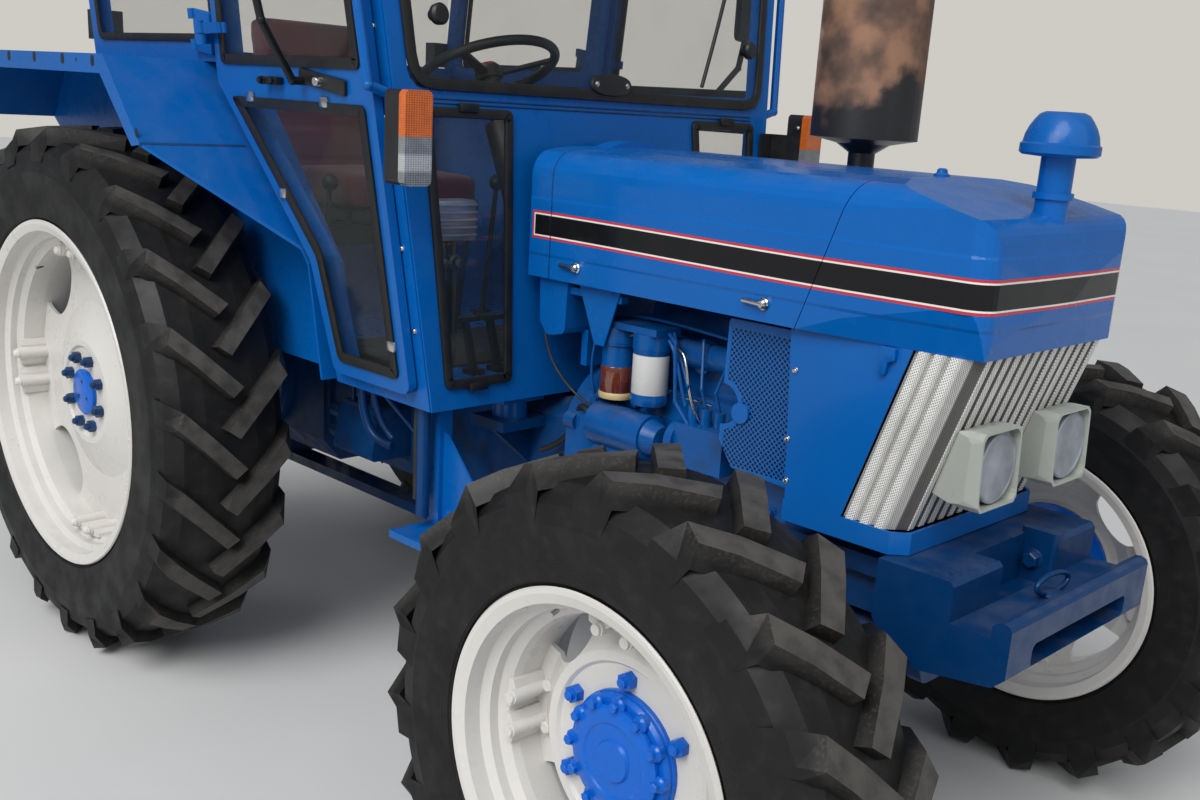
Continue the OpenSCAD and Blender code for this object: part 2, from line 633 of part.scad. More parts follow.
module nose() {
    color(paint) from_axle() intersection() {
        difference() {
            nose_form(0);
            difference() {
                nose_form(sheet);
                block([wheelbase - 200, -400, hood_low - 1], [nose_x + 110, 400, hood_low + 3]);
            }
            block([wheelbase - 200, 18 - panel_y, hood_low - 1], [nose_x - 28, panel_y - 18, hood_low + 4]);
            round_z(cleaner_x, 0, 1400, 1600, cleaner_r + gap);
        }
        ahead_of_seam();
    }
}

panel_low = 886;
panel_top = hood_low - gap;
panel_y = 268;
grille_slant = atan(0.324);
panel_x = wheelbase - 100;
guard_x0 = max(wheelbase - 302, filter_x[1] + 60);
function grille_x(z) = support_x1 - (1227 - z) * tan(grille_slant);

module side_panels() {
    band_x = wheelbase + 178;
    band_x0 = panel_x - 4;
    color(paint) from_axle() {
        both_sides() {
            plate_y(panel_y - sheet, panel_y, [[panel_x, panel_low], [grille_x(panel_low) - 1, panel_low],
                [grille_x(panel_top) - 1, panel_top], [panel_x - 26, panel_top]]);
            plate_y(panel_y - 24, panel_y - sheet, [[panel_x, panel_low], [panel_x + 6, panel_low],
                [panel_x - 20, panel_top], [panel_x - 26, panel_top]]);
            difference() {
                plate_y(panel_y - 28, panel_y - 24, soften([[guard_x0, 962], [guard_x0 + 40, 908],
                    [panel_x - 6, 900], [panel_x - 20, 1222], [guard_x0 + 2, 1222]], 8));
                round_y(guard_x0, 1040, 200, 300, 44);
            }
            round_y(guard_x0 + 54, 1030, panel_y - 25, panel_y - 18, 22);
        }
        plate_z(842, panel_low, [[band_x0, -panel_y], [band_x - 30, -panel_y], [band_x, -panel_y + 30],
            [band_x, panel_y - 30], [band_x - 30, panel_y], [band_x0, panel_y], [band_x0, panel_y - 6],
            [band_x - 32, panel_y - 6], [band_x - 6, panel_y - 32], [band_x - 6, 32 - panel_y],
            [band_x - 32, 6 - panel_y], [band_x0, 6 - panel_y]]);
        both_sides() block([wheelbase + 4, 160, 850], [wheelbase + 24, panel_y - 5, 862]);
    }
}

// Raised ridges along the run from p0 to p1, standing d to the right of it
function ridges(n, p0, p1, d) = let (u = unit(p1 - p0), m = [u[1], -u[0]])
    [for (i = [0 : n - 1], k = [[0.06, 0], [0.26, 1], [0.74, 1], [0.94, 0]])
        p0 + (p1 - p0) * (i + k[0]) / n + m * d * k[1]];

grille_wrap = 122;
side_ridges = 3;
front_ridges = 13;
ridge_h = 9;
module grille_form(pts) {
    translate([grille_x(panel_low), 0, panel_low]) rotate([0, grille_slant, 0]) linear_extrude(900,
        center = true)
        polygon(pts);
}
module grille() {
    w = panel_y - ridge_h - 2;
    color(silver) from_axle() intersection() {
        grille_form(concat([[0, -w]], ridges(side_ridges, [2, -w], [grille_wrap - 26, -w], ridge_h),
            ridges(front_ridges, [grille_wrap - ridge_h, 20 - w], [grille_wrap - ridge_h, w - 20], ridge_h),
            ridges(side_ridges, [grille_wrap - 26, w], [2, w], ridge_h), [[0, w], [0, w - 8],
            [grille_wrap - 30, w - 8], [grille_wrap - ridge_h - 6, w - 24], [grille_wrap - ridge_h - 6,
                24 - w],
            [grille_wrap - 30, 8 - w], [0, 8 - w]]));
        block([panel_x, -300, panel_low + gap], [nose_x + 110, 300, panel_top]);
    }
}

lamp_y = 147;
lamp_z = 1026;
lamp_half = 76;
lamp_x1 = nose_x + 4;
lamp_wall = 6;
lamp_deep = 30;
lens_r = 66;
module headlamps() {
    x0 = lamp_x1 - 194;
    h = lamp_half;
    color(silver) from_axle() both_sides() difference() {
        intersection() {
            plate_x(x0, lamp_x1, soften(rect(lamp_y - h, lamp_z - h, lamp_y + h, lamp_z + h), 22));
            plate_y(0, 300, [[x0, lamp_z - 42], [lamp_x1 - 24, lamp_z - h], [lamp_x1, lamp_z - h + 2],
                [lamp_x1 - 8, lamp_z + h - 2], [lamp_x1 - 34, lamp_z + h], [x0, lamp_z + 42]]);
            plate_z(800, 1300, [[x0, lamp_y - 42], [lamp_x1 - 30, lamp_y - h], [lamp_x1, lamp_y - h + 2],
                [lamp_x1, lamp_y + h - 2], [lamp_x1 - 30, lamp_y + h], [x0, lamp_y + 42]]);
        }
        grille_form(rect(-400, -300, grille_wrap + 1, 300));
        plate_x(lamp_x1 - lamp_deep, lamp_x1 + 1,
            soften(inset(rect(lamp_y - h, lamp_z - h, lamp_y + h, lamp_z + h), lamp_wall), 20));
    }
}

marker_z0 = 1446;
marker_z1 = 1636;
marker_y = 676;
marker_x1 = 1404;
module lenses() {
    lens_x = lamp_x1 - lamp_deep;
    color("#dfe6e4") from_axle() both_sides() {
        round_x(lens_x, lens_x + 12, lamp_y, lamp_z, lens_r);
        round_x(lens_x + 12, lens_x + 18, lamp_y, lamp_z, lens_r, lens_r - 20);
        plate_x(marker_x1 - 22, marker_x1, soften(rect(marker_y - 34, marker_z0, marker_y + 34,
            marker_z1), 12));
    }
}

module lamps() {
    color(black) from_axle() both_sides() {
        plate_x(1334, marker_x1 - 22, soften(rect(marker_y - 34, marker_z0, marker_y + 34, marker_z1), 12));
        block([front_x(1500) + 1, marker_y - 34, 1500], [1335, marker_y - 22, 1580]);
        block([front_x(1500) + 1, side_y(1580) - 40, 1500], [front_x(1500) + 7, marker_y - 22, 1580]);
        block([cab_rear - 52, 560, 1724], [cab_rear - gap, 640, 1804]);
    }
}

weight_half_w = 293;
weight_x0 = support_x1;
weight_x1 = wheelbase + 307;
weight_top = 840;
weight_nose = wheelbase + front_reach;
trough_z = 762;
notch_y = 110;
notch_x = weight_x1 - 61;
module front_weight() {
    lip = weight_nose - 38;
    color(paint) from_axle() {
        difference() {
            plate_y(-weight_half_w, weight_half_w, [[weight_x0, 723], [weight_x0 + 27, 681],
                [weight_x0 + 67, 683], [weight_x0 + 107, 650], [weight_nose - 24, 671],
                [weight_nose, 694], [weight_nose, 784], [weight_nose - 5, 793],
                [weight_nose - 16, 797], [weight_nose - 28, 795], [lip, 786], [lip, trough_z],
                [weight_x1, trough_z], [weight_x1, weight_top - 9], [weight_x1 - 9, weight_top],
                [weight_x0, weight_top]]);
            block([notch_x, -notch_y, trough_z - 20], [weight_x1 + 1, notch_y, weight_top + 1]);
            plate_x(weight_nose - 70, weight_nose + 1, soften(rect(-200, 692, 200, 738), 14));
            round_z(weight_nose - 68, 0, 600, 900, tow_pin_r);
        }
        plate_z(trough_z - 22, weight_top + 12, soften(rect(notch_x - 10, notch_y - 12, weight_x1 + 6,
            notch_y + 18), 7));
    }
}
tow_pin_r = 16;

exhaust_x = engine_x1 - 170;
exhaust_y = 215;
exhaust_r = 30;
module exhaust() {
    color(rust) from_axle() {
        translate([exhaust_x, exhaust_y, 0]) {
            round_z(0, 0, 1078, 1590, exhaust_r);
            round_z(0, 0, 1560, 1580, exhaust_r, 60);
            round_z(0, 0, 1580, 1592, 60, 118);
            round_z(0, 0, 1592, 2150, 120);
            round_z(0, 0, 2150, 2164, 118, 50);
            tube_path([[0, 0, 2160], [0, 0, 2310], [-22, 0, 2372], [-66, 0, 2410]], 32);
        }
        round_y(exhaust_x, 1090, 122, exhaust_y - 10, 26);
        round_y(exhaust_x, 1090, 122, 133, 44);
        plate_y(120, 150, soften([[engine_x0 + 60, 1060], [engine_x1 - 60, 1060],
            [engine_x1 - 80, 1118], [engine_x0 + 80, 1118]], 14));
    }
}

cleaner_x = nose_x - 50;
cleaner_r = 31;
module precleaner() {
    color(paint) from_axle() translate([cleaner_x, 0, 0]) {
        round_z(0, 0, 1430, 1594, cleaner_r);
        round_z(0, 0, 1512, 1524, cleaner_r + 6);
        turned_z([[0, 1588], [cleaner_r, 1588], [66, 1594], [71, 1600], [71, 1608], [62, 1618], [52, 1624],
            [50, 1646], [42, 1658], [0, 1662]]);
    }
}
module turned_z(pts) {
    rotate_extrude() polygon(pts);
}

// A flat outline in the cab's side plane: x against z, thick from y0 to y1 outwards
module side_plane(side) {
    on_side(side) translate([0, cab_foot, floor_z]) rotate([-side_lean, 0, 0]) children();
}
module side_sheet(side, y0, y1) {
    side_plane(side) translate([0, y1, 0]) rotate([90, 0, 0]) linear_extrude(y1 - y0) children();
}
function plane_pts(p) = [for (q = p) [q[0], (q[1] - floor_z) / cos(side_lean)]];
function side_front_x(z) = front_x(z) - 6;

top_z = top_rail - 40;
side_top = top_rail - post * sin(side_lean);
door_opening = plane_pts([[door_rear + 12, top_z], [door_rear + 12, 1636], [938, 1243], [1003, 990],
    [side_front_x(990) - 44, 990], [side_front_x(top_z) - 44, top_z]]);
side_outline = plane_pts([[cab_rear, waist_z + gap], [541, waist_z + gap], [541, 1620], [903, 1214],
    [960, floor_z], [side_front_x(floor_z), floor_z], [side_front_x(side_top), side_top], [cab_rear,
        side_top]]);
rear_window = plane_pts([[cab_rear + post, waist_z + 46], [541, waist_z + 46], [541, top_z],
    [cab_rear + post, top_z]]);
rear_frame_in = 456;
deck_z = 1150;
floor_t = 18;

module cab_frame() {
    y_top = side_y(top_z) - post;
    y_waist = side_y(waist_z) - post;
    color(paint) from_axle() {
        for (s = [LEFT, RIGHT]) side_sheet(s, -post + 2, 0) difference() {
            polygon(side_outline);
            polygon(soften(door_opening, 18));
            polygon(soften(rear_window, 26));
        }
        plate_y(-y_top, y_top, [[front_x(top_z) - 48, top_z], [front_x(top_z) - 8, top_z],
            [front_x(top_rail) - 8, top_rail], [front_x(top_rail) - 48, top_rail]]);
        block([cab_rear, -y_top, top_z], [cab_rear + post, y_top, top_rail]);
        block([cab_rear, -y_waist, waist_z + gap], [cab_rear + post, y_waist, waist_z + 44]);
        both_sides() block([cab_rear, rear_frame_in, deck_z + floor_t], [cab_rear + post,
            fender_in - gap, waist_z + 1]);
        block([cab_rear, -rear_frame_in - 1, deck_z + floor_t], [cab_rear + post, rear_frame_in + 1,
            deck_z + 60]);
        for (s = [LEFT, RIGHT]) side_plane(s) hinge_ear();
        both_sides() grab_rail();
    }
}

hinge_out = 60;
hinge_pin_r = 8;
hinge_heights = [waist_z + 70, top_z - 100];
// Fixed ear on the rear post with the pin that stands up from it
module hinge_ear() {
    for (z = hinge_heights) translate([0, 0, z - floor_z]) {
        plate_z(-24, 0, [[543, -1], [566, -1], [566, 44], [575, hinge_out], [562, hinge_out + 4], [543,
            40]]);
        round_z(door_rear, hinge_out, -24, 0, 14);
        round_z(door_rear, hinge_out, -10, 30, hinge_pin_r);
    }
}

// The door's strap that turns on the pin
module hinge_strap() {
    for (z = hinge_heights) translate([0, 0, z - floor_z]) difference() {
        union() {
            round_z(door_rear, hinge_out, 2, 26, 15);
            plate_z(2, 26, [[door_rear, hinge_out - 12], [600, 26], [640, 26], [640, 32], [606, 34],
                [door_rear + 12, hinge_out + 6]]);
        }
        round_z(door_rear, hinge_out, 0, 40, hinge_pin_r + gap);
    }
}

module grab_rail() {
    y0 = side_y(1624) + 10;
    x = front_x(1624) - 19;
    z = top_rail - 190;
    tube_path([[x, y0 - 14, 1624], [x, y0 + 40, 1640], [front_x(z) - 19, side_y(z) + 52, z],
        [front_x(z + 10) - 19, side_y(z + 10) - 4, z + 20]], 11);
}

module cab_roof() {
    r = side_y(top_rail) + 30;
    outline = [[cab_rear - 70, -r], [front_x(top_rail) + 95, -r], [front_x(top_rail) + 95, r],
        [cab_rear - 70, r]];
    color(cream) from_axle() difference() {
        union() {
            plate_z(top_rail + gap, top_rail + 46, soften(outline, 70));
            plate_z(top_rail + 46, roof_top - 16, soften(inset(outline, 14), 70));
            plate_z(roof_top - 16, roof_top, soften(inset(outline, 60), 70));
        }
        plate_z(top_rail - 1, roof_top - 34, soften(inset(outline, 80), 50));
    }
}

module front_plane() {
    translate([cab_front_foot, 0, floor_z]) rotate([0, -front_rake, 0]) children();
}
function rake_pts(p) = [for (q = p) [q[0], (q[1] - floor_z) / cos(front_rake)]];
wall_outline = rake_pts([[3 - cab_foot, floor_z], [cab_foot - 3, floor_z], [side_y(top_z + 20) - 3,
    top_z + 20],
    [3 - side_y(top_z + 20), top_z + 20]]);
quarter_window = rake_pts([[342, 988], [533, 988], [566, 1602], [314, 1602]]);
windscreen = rake_pts([[-596, 1640], [596, 1640], [side_y(top_z) - 46, top_z - 6], [46 - side_y(top_z),
    top_z - 6]]);
module front_sheet(x0, x1) {
    front_plane() translate([x0, 0, 0]) rotate([90, 0, 90]) linear_extrude(x1 - x0) children();
}
module front_wall() {
    color(paint) from_axle() {
        front_sheet(-5, 0) difference() {
            polygon(wall_outline);
            polygon(soften(windscreen, 40));
            for (s = [LEFT, RIGHT]) scale([s, 1]) polygon(soften(quarter_window, 20));
        }
    }
}

module cab_glass() {
    pane = 5;
    color(glass) from_axle() {
        front_sheet(-5, 0) polygon(soften(inset(windscreen, gap), 40));
        front_sheet(-5, 0) for (s = [LEFT, RIGHT]) scale([s, 1]) polygon(soften(inset(quarter_window,
            gap), 20));
        for (s = [LEFT, RIGHT]) side_sheet(s, -14, -14 + pane) polygon(soften(inset(rear_window, gap), 26));
        block([cab_rear + 10, -rear_pane_y, waist_z + 44 + gap], [cab_rear + 10 + pane, rear_pane_y,
            top_z - gap]);
        block([cab_rear + 10, -rear_frame_in + gap, deck_z + 60 + gap], [cab_rear + 10 + pane,
            rear_frame_in - gap,
            waist_z - 1]);
    }
}
rear_pane_y = side_y(waist_z + 44) - post - 2;

module floor_pan() {
    color(dark_paint) from_axle() {
        block([232, -fender_in + gap, floor_z], [1000, fender_in - gap, floor_z + floor_t]);
        block([1000, -cab_foot + post + 2, floor_z], [cab_front_foot - 10, cab_foot - post - 2,
            floor_z + floor_t]);
        block([232, -fender_in + gap, floor_z + floor_t], [246, fender_in - gap, deck_z]);
        block([cab_rear, -fender_in + gap, deck_z], [246, fender_in - gap, deck_z + floor_t]);
        both_sides() {
            round_z(1240, 260, 875, floor_z, 44);
            block([1180, 200, floor_z - 20], [1300, 330, floor_z]);
            round_z(0, 400, rear_tyre_r + 112, deck_z, 40);
            step();
        }
    }
}

module step() {
    block([1240, 470, 640], [1280, 506, floor_z]);
    block([1400, 470, 640], [1440, 506, 700]);
    plate_y(488, 494, soften([[1240, 640], [1440, 640], [1440, 720], [1300, 860], [1240, 900]], 12));
    block([1230, 450, 622], [1450, 610, 640]);
}

fender_out = 905;
fender_in = 500;
fender_outline = [[-830, waist_z - 190], [-700, waist_z], [465, waist_z], [873, 1216], [932,
    floor_z + gap]];
module fenders() {
    inner = [for (q = [[924, floor_z + gap], [868, 1212], [463, waist_z - sheet], [-698, waist_z - sheet],
        [-825, waist_z - 191]]) q];
    color(paint) from_axle() both_sides() {
        difference() {
            union() {
                plate_y(fender_in, fender_out, concat(fender_outline, inner));
                plate_y(fender_out - sheet, fender_out, [[-830, waist_z - 190], [-700, waist_z], [465,
                    waist_z],
                    [642, 1476], [600, 1470], [445, waist_z - 45], [-680, waist_z - 45], [-790,
                        waist_z - 205]]);
            }
            plate_z(1000, 1700, [[640, fender_out + 1], [640, fender_out - 4], [838, 600], [1000, 600],
                [1000, fender_out + 1]]);
            plate_z(800, 1240, [[700, 600], [1000, 600], [1000, fender_out], [700, fender_out]]);
        }
        plate_y(fender_in, fender_in + sheet, concat(fender_outline, [[120, floor_z + gap], [-160,
            1160], [-620, 1330]]));
    }
}

wheel_x = 800;
wheel_z = 1700;
wheel_tilt = 25;
module console() {
    color(black) from_axle() {
        plate_y(-130, 130, soften([[1120, floor_z + floor_t], [1270, floor_z + floor_t], [1250, 1400],
            [1160, 1480],
            [1060, 1450], [1090, 1300]], 14));
        translate([wheel_x, 0, wheel_z]) rotate([0, -wheel_tilt, 0]) {
            round_z(0, 0, -700, -26 - gap, 26);
            round_z(0, 0, -620, -150, 44);
        }
        for (k = [[1080, -200], [1080, -280], [1080, 210]]) {
            block([k[0] + 20, k[1] - 20, floor_z + floor_t], [k[0] + 62, k[1] + 20, 972]);
            bar([k[0] + 40, k[1], 968], [k[0], k[1], 1090], 16, 16);
            block([k[0] - 16, k[1] - 34, 1086], [k[0] + 20, k[1] + 34, 1098]);
        }
        for (k = [[620, 60, 1330], [660, -40, 1300], [450, 300, 1380], [450, -300, 1380]]) {
            round_z(k[0], k[1], floor_z + floor_t, 976, 30);
            aim([k[0], k[1], 970], [k[0] + 50, k[1], k[2]]) cylinder(r = 8, h = k[2] - 970);
            translate([k[0] + 50, k[1], k[2]]) sphere(r = 24);
        }
    }
}

module steering_wheel() {
    color(black) from_axle() translate([wheel_x, 0, wheel_z]) rotate([0, -wheel_tilt, 0]) {
        rotate_extrude() translate([187, 0]) circle(r = 13, $fn = 24);
        for (a = [60, 180, 300]) rotate([0, 0, a]) aim([20, 0, -14], [182, 0, 0])
            translate([-4, -12, 0]) cube([8, 24, norm([162, 14])]);
        round_z(0, 0, -26, 4, 36);
    }
}

seat_z = 1300;
module seat_base() {
    color(black) from_axle() {
        block([-20, -170, deck_z + floor_t], [240, 170, 1230]);
        plate_y(-150, 150, soften([[0, 1229], [240, 1229], [360, seat_z - 30], [120, seat_z - 30]], 10));
        plate_z(seat_z - 30, seat_z, soften(rect(90, -225, 520, 225), 50));
    }
}
module seat_cushion() {
    color("#3a2328") from_axle() plate_z(seat_z + gap, 1405, soften(rect(110, -235, 530, 235), 60));
}
module seat_back() {
    color("#3a2328") from_axle() plate_y(-235, 235, soften([[20, seat_z + gap], [110 - gap,
        seat_z + gap], [110 - gap, 1405],
        [40, 1830], [-60, 1820]], 24));
}

valve_y = -gearbox_half_w;
module tow_hitch() {
    color(black) from_axle() {
        difference() {
            union() {
                block([-770, -38, 384], [880, 38, 414]);
                round_z(-770, 0, 384, 414, 38);
            }
            round_z(-770, 0, 380, 420, drawbar_r);
        }
        plate_x(rear_case_x0 - 2, rear_case_x0 + 36, [[-90, 414], [90, 414], [110, rear_case_low],
            [-110, rear_case_low]]);
        plate_x(840, 880, rect(-60, 414, 60, gearbox_low - 10));
        round_x(rear_case_x0 - 92, rear_case_x0, 0, 640, pto_r);
        round_x(rear_case_x0 - 12, rear_case_x0, 0, 640, 60);
        plate_x(rear_case_x0 - 130, rear_case_x0, [[-110, 600], [-104, 600], [-104, 720], [-80, 744],
            [80, 744],
            [104, 720], [104, 600], [110, 600], [110, 724], [84, 750], [-84, 750], [-110, 724]]);
        difference() {
            both_sides() plate_y(28, 42, soften([[rear_case_x0, 830], [rear_case_x0 - 50, 850],
                [rear_case_x0 - 60, 910], [rear_case_x0, 915]], 8));
            round_y(rear_case_x0 - 36, 880, -60, 60, top_link_r);
        }
        plate_x(valve_x, valve_x + 190, soften([[-330, 640], [valve_y, 640], [valve_y, 780], [-300,
            780]], 12));
        for (x = [valve_x + 30, valve_x + 80, valve_x + 130]) round_z(x, -280, 779, 860, 8);
        for (z = [675, 735]) round_x(valve_x - 60, valve_x + 1, -280, z, 20);
    }
}
drawbar_r = 16;
pto_r = 17.5;
top_link_r = 12.9;

hitch_x = -60;
lift_z = 1030;
link_z = 430;
arm_dx = -370;
link_pin_r = 14;
ball_r = 14.4;
link_y = 240;
link_eye_r = 31;
link_end = [link_eye_r - rear_reach, 410, 560];
rod_y = 292;

module lift_arms() {
    y0 = lift_case_half_w + 6 + gap;
    color(dark_paint) from_axle() both_sides() {
        round_y(hitch_x, lift_z, y0, y0 + 48, 44);
        plate_y(y0 + 8, y0 + 40, [[hitch_x, lift_z + 40], [hitch_x, lift_z - 40],
            [hitch_x + arm_dx, lift_z + arm_dz - 26], [hitch_x + arm_dx, lift_z + arm_dz + 26]]);
        round_y(hitch_x + arm_dx, lift_z + arm_dz, y0 + 8, y0 + 40, 26);
        round_y(hitch_x + arm_dx, lift_z + arm_dz, y0 + 8, rod_y + 24, 13);
    }
}

// Place of the lower link's middle at the foot of the lift rod
link_share = arm_dx / (link_end[0] - hitch_x);
arm_dz = (link_end[2] - link_z) * link_share;
rod_foot = [hitch_x + arm_dx, link_y + (link_end[1] - link_y) * link_share,
    link_z + (link_end[2] - link_z) * link_share];
module lower_links() {
    color(dark_paint) from_axle() both_sides() difference() {
        union() {
            round_y(hitch_x, link_z, link_y - 18, link_y + 18, 34);
            bar([hitch_x, link_y, link_z], link_end, 56, 24);
            translate(link_end) rotate([-90, 0, 0]) translate([0, 0, -22]) cylinder(r = link_eye_r, h = 44);
            round_y(rod_foot[0], rod_foot[2], rod_foot[1], rod_foot[1] + 62, 12);
        }
        round_y(hitch_x, link_z, link_y - 60, link_y + 60, link_pin_r + gap);
        translate(link_end) round_y(0, 0, -40, 40, ball_r);
    }
}

module lift_rods() {
    top = [rod_foot[0], rod_y + 6, lift_z + arm_dz];
    foot = rod_foot + [0, 36, 0];
    color(dark_paint) from_axle() both_sides() difference() {
        union() {
            round_y(top[0], top[2], top[1] - 11, top[1] + 11, 26);
            round_y(foot[0], foot[2], foot[1] - 11, foot[1] + 11, 26);
            aim(foot, top) cylinder(r = 15, h = norm(top - foot));
            aim(foot + (top - foot) * 0.35, top) cylinder(r = 21, h = 170);
        }
        round_y(top[0], top[2], top[1] - 40, top[1] + 40, 13 + gap);
        round_y(foot[0], foot[2], foot[1] - 40, foot[1] + 40, 12 + gap);
    }
}

leaf_out = inset(door_opening, -14);
rail_low = 1600;
rail_high = 1672;
upper_pane = plane_pts([[door_rear + 30, rail_high], [side_front_x(rail_high) - 62, rail_high],
    [side_front_x(top_z) - 62, top_z - 18], [door_rear + 30, top_z - 18]]);
lower_pane = plane_pts([[640, rail_low], [962, 1250], [1022, 1008], [side_front_x(1008) - 62, 1008],
    [side_front_x(rail_low) - 62, rail_low]]);
module door(side) {
    color(paint) from_axle() {
        side_sheet(side, 5, 27) difference() {
            polygon(soften(leaf_out, 24));
            polygon(soften(upper_pane, 24));
            polygon(soften(lower_pane, 18));
        }
        side_plane(side) hinge_strap();
        on_side(side) mirror_arm();
    }
}

module mirror_arm() {
    z = 1640;
    y = side_y(z) + 36;
    head = top_z - 450;
    tube_path([[972, y - 14, z], [972, y + 26, z], [1010, 800, head - 80], [1010, 850, head + 120]], 9);
    block([1000, 786, head], [1016, 930, head + 240]);
}
module door_left() { door(LEFT); }
module door_right() { door(RIGHT); }

module door_glass(side) {
    color(glass) from_axle() side_sheet(side, 12, 17) {
        polygon(soften(inset(upper_pane, gap), 24));
        polygon(soften(inset(lower_pane, gap), 18));
    }
}
module door_glass_left() { door_glass(LEFT); }
module door_glass_right() { door_glass(RIGHT); }

engine();
drive_train();
front_support();
front_axle();
radiator();
fuel_tank();
engine_fittings();
fuel_filters();
hood();
nose();
side_panels();
grille();
headlamps();
lenses();
front_weight();
exhaust();
precleaner();
cab_frame();
cab_roof();
front_wall();
floor_pan();
cab_glass();
fenders();
console();
seat_base();
seat_cushion();
seat_back();
lamps();
tow_hitch();
steering_wheel();
door_left();
door_right();
door_glass_left();
door_glass_right();
lift_arms();
lower_links();
lift_rods();
tie_rod();
knuckle_left();
knuckle_right();
front_hub_left();
front_hub_right();
rear_hub_left();
rear_hub_right();
front_rim_left();
front_rim_right();
rear_rim_left();
rear_rim_right();
front_tyre_left();
front_tyre_right();
rear_tyre_left();
rear_tyre_right();
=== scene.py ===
"""Dresses a packed four-wheel-drive farm tractor: paint, glass, seals, bolts, lamps and cushions.

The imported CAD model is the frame, and nothing in it is moved. Sizes are metres in the row's
frame. Places that are counted along the tractor are written in millimetres from the rear axle,
with the ground at zero, and Layout.at() turns them into metres.
"""
from __future__ import annotations

import logging
import math
from contextlib import contextmanager
from dataclasses import dataclass
from enum import Enum, auto
from typing import Callable, Iterable, Iterator, Protocol, Sequence

import bpy
from mathutils import Matrix, Vector


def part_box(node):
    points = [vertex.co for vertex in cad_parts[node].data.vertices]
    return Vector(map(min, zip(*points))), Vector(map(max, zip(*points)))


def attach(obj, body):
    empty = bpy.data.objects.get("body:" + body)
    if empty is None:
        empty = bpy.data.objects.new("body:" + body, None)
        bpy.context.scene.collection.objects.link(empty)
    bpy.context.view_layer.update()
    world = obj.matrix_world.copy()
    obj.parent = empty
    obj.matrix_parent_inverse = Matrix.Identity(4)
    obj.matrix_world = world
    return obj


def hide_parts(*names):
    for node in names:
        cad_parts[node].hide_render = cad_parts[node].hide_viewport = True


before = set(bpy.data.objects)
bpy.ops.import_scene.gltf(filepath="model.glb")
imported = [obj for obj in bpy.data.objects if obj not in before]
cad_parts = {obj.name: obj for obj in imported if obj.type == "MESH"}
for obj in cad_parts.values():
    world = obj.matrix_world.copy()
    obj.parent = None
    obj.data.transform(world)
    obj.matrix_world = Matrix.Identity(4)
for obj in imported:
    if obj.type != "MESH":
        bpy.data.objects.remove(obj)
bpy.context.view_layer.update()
LOG = logging.getLogger("tractor")

Piece = bpy.types.Object
Material = bpy.types.Material
Socket = bpy.types.NodeSocket
Colour = tuple[float, float, float]
Outline = list[Vector]
Pairs = tuple[tuple[float, float], ...]
MM = 0.001
UP = Vector((0, 0, 1))
AHEAD = Vector((1, 0, 0))


class Side(Enum):
    """The two sides of the tractor, with the sign of their Y."""

    LEFT = 1
    RIGHT = -1

    @property
    def word(self) -> str:
        """Name of the side as the nodes use it."""
        return self.name.lower()

    def out(self, length: float) -> Vector:
        """Vector of a length that points away from the tractor's middle."""
        return Vector((0, self.value * length, 0))


@dataclass(frozen=True)
class Layout:
    """Planes and stations of the tractor, in millimetres from the rear axle."""

    floor_z: float = 940.0
    cab_foot: float = 575.0
    side_lean: float = 5.3
    wall_foot: float = 1335.0
    wall_rake: float = 6.0

    @property
    def axle_x(self) -> float:
        """Place of the rear axle in the row's frame, in metres."""
        low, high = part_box("rear_tyre_right")
        return (low.x + high.x) / 2

    def at(self, x: float, y: float, z: float) -> Vector:
        """Turns a place on the tractor into metres in the row's frame."""
        return Vector((x * MM + self.axle_x, y * MM, z * MM))

    def on_side(self, side: Side, x: float, z: float, out: float) -> Vector:
        """A point on the leaning side of the cab.

        Args:
            side: Which side of the cab.
            x: Millimetres ahead of the rear axle.
            z: Millimetres above the ground, measured on the side's own plane.
            out: Millimetres outwards from that plane.

        Returns:
            The point in metres.
        """
        lean = math.radians(self.side_lean)
        rise = (z - self.floor_z) / math.cos(lean)
        y = self.cab_foot + out * math.cos(lean) + rise * math.sin(lean)
        return self.at(x, side.value * y, self.floor_z - out * math.sin(lean) + rise * math.cos(lean))

    def on_wall(self, y: float, z: float, out: float) -> Vector:
        """A point on the raked front wall of the cab, out millimetres ahead of it.

        Args:
            y: Millimetres to the left of the middle.
            z: Millimetres above the ground, measured on the wall's own plane.
            out: Millimetres ahead of that plane.

        Returns:
            The point in metres.
        """
        rake = math.radians(self.wall_rake)
        rise = (z - self.floor_z) / math.cos(rake)
        x = self.wall_foot + out * math.cos(rake) - rise * math.sin(rake)
        return self.at(x, y, self.floor_z + out * math.sin(rake) + rise * math.cos(rake))

    def side_normal(self, side: Side) -> Vector:
        """Outward direction of the cab's side."""
        lean = math.radians(self.side_lean)
        return Vector((0.0, side.value * math.cos(lean), -math.sin(lean)))

    def wall_normal(self) -> Vector:
        """Forward direction of the cab's front wall."""
        rake = math.radians(self.wall_rake)
        return Vector((math.cos(rake), 0.0, math.sin(rake)))


LAYOUT = Layout()


def clear_selection() -> None:
    """Leaves edit mode and deselects everything."""
    active = bpy.context.view_layer.objects.active
    if active is not None and active.mode != "OBJECT":
        bpy.ops.object.mode_set(mode="OBJECT")
    bpy.ops.object.select_all(action="DESELECT")


def select_only(piece: Piece) -> None:
    """Makes one piece the only selected and the active one.

    Args:
        piece: The piece.
    """
    clear_selection()
    piece.select_set(True)
    bpy.context.view_layer.objects.active = piece


@contextmanager
def editing(piece: Piece) -> Iterator[None]:
    """Edit mode on one piece, for the time of a with block.

    Args:
        piece: The piece.

    Yields:
        Nothing; the piece is in edit mode meanwhile.
    """
    select_only(piece)
    bpy.ops.object.mode_set(mode="EDIT")
    try:
        yield
    finally:
        bpy.ops.object.mode_set(mode="OBJECT")


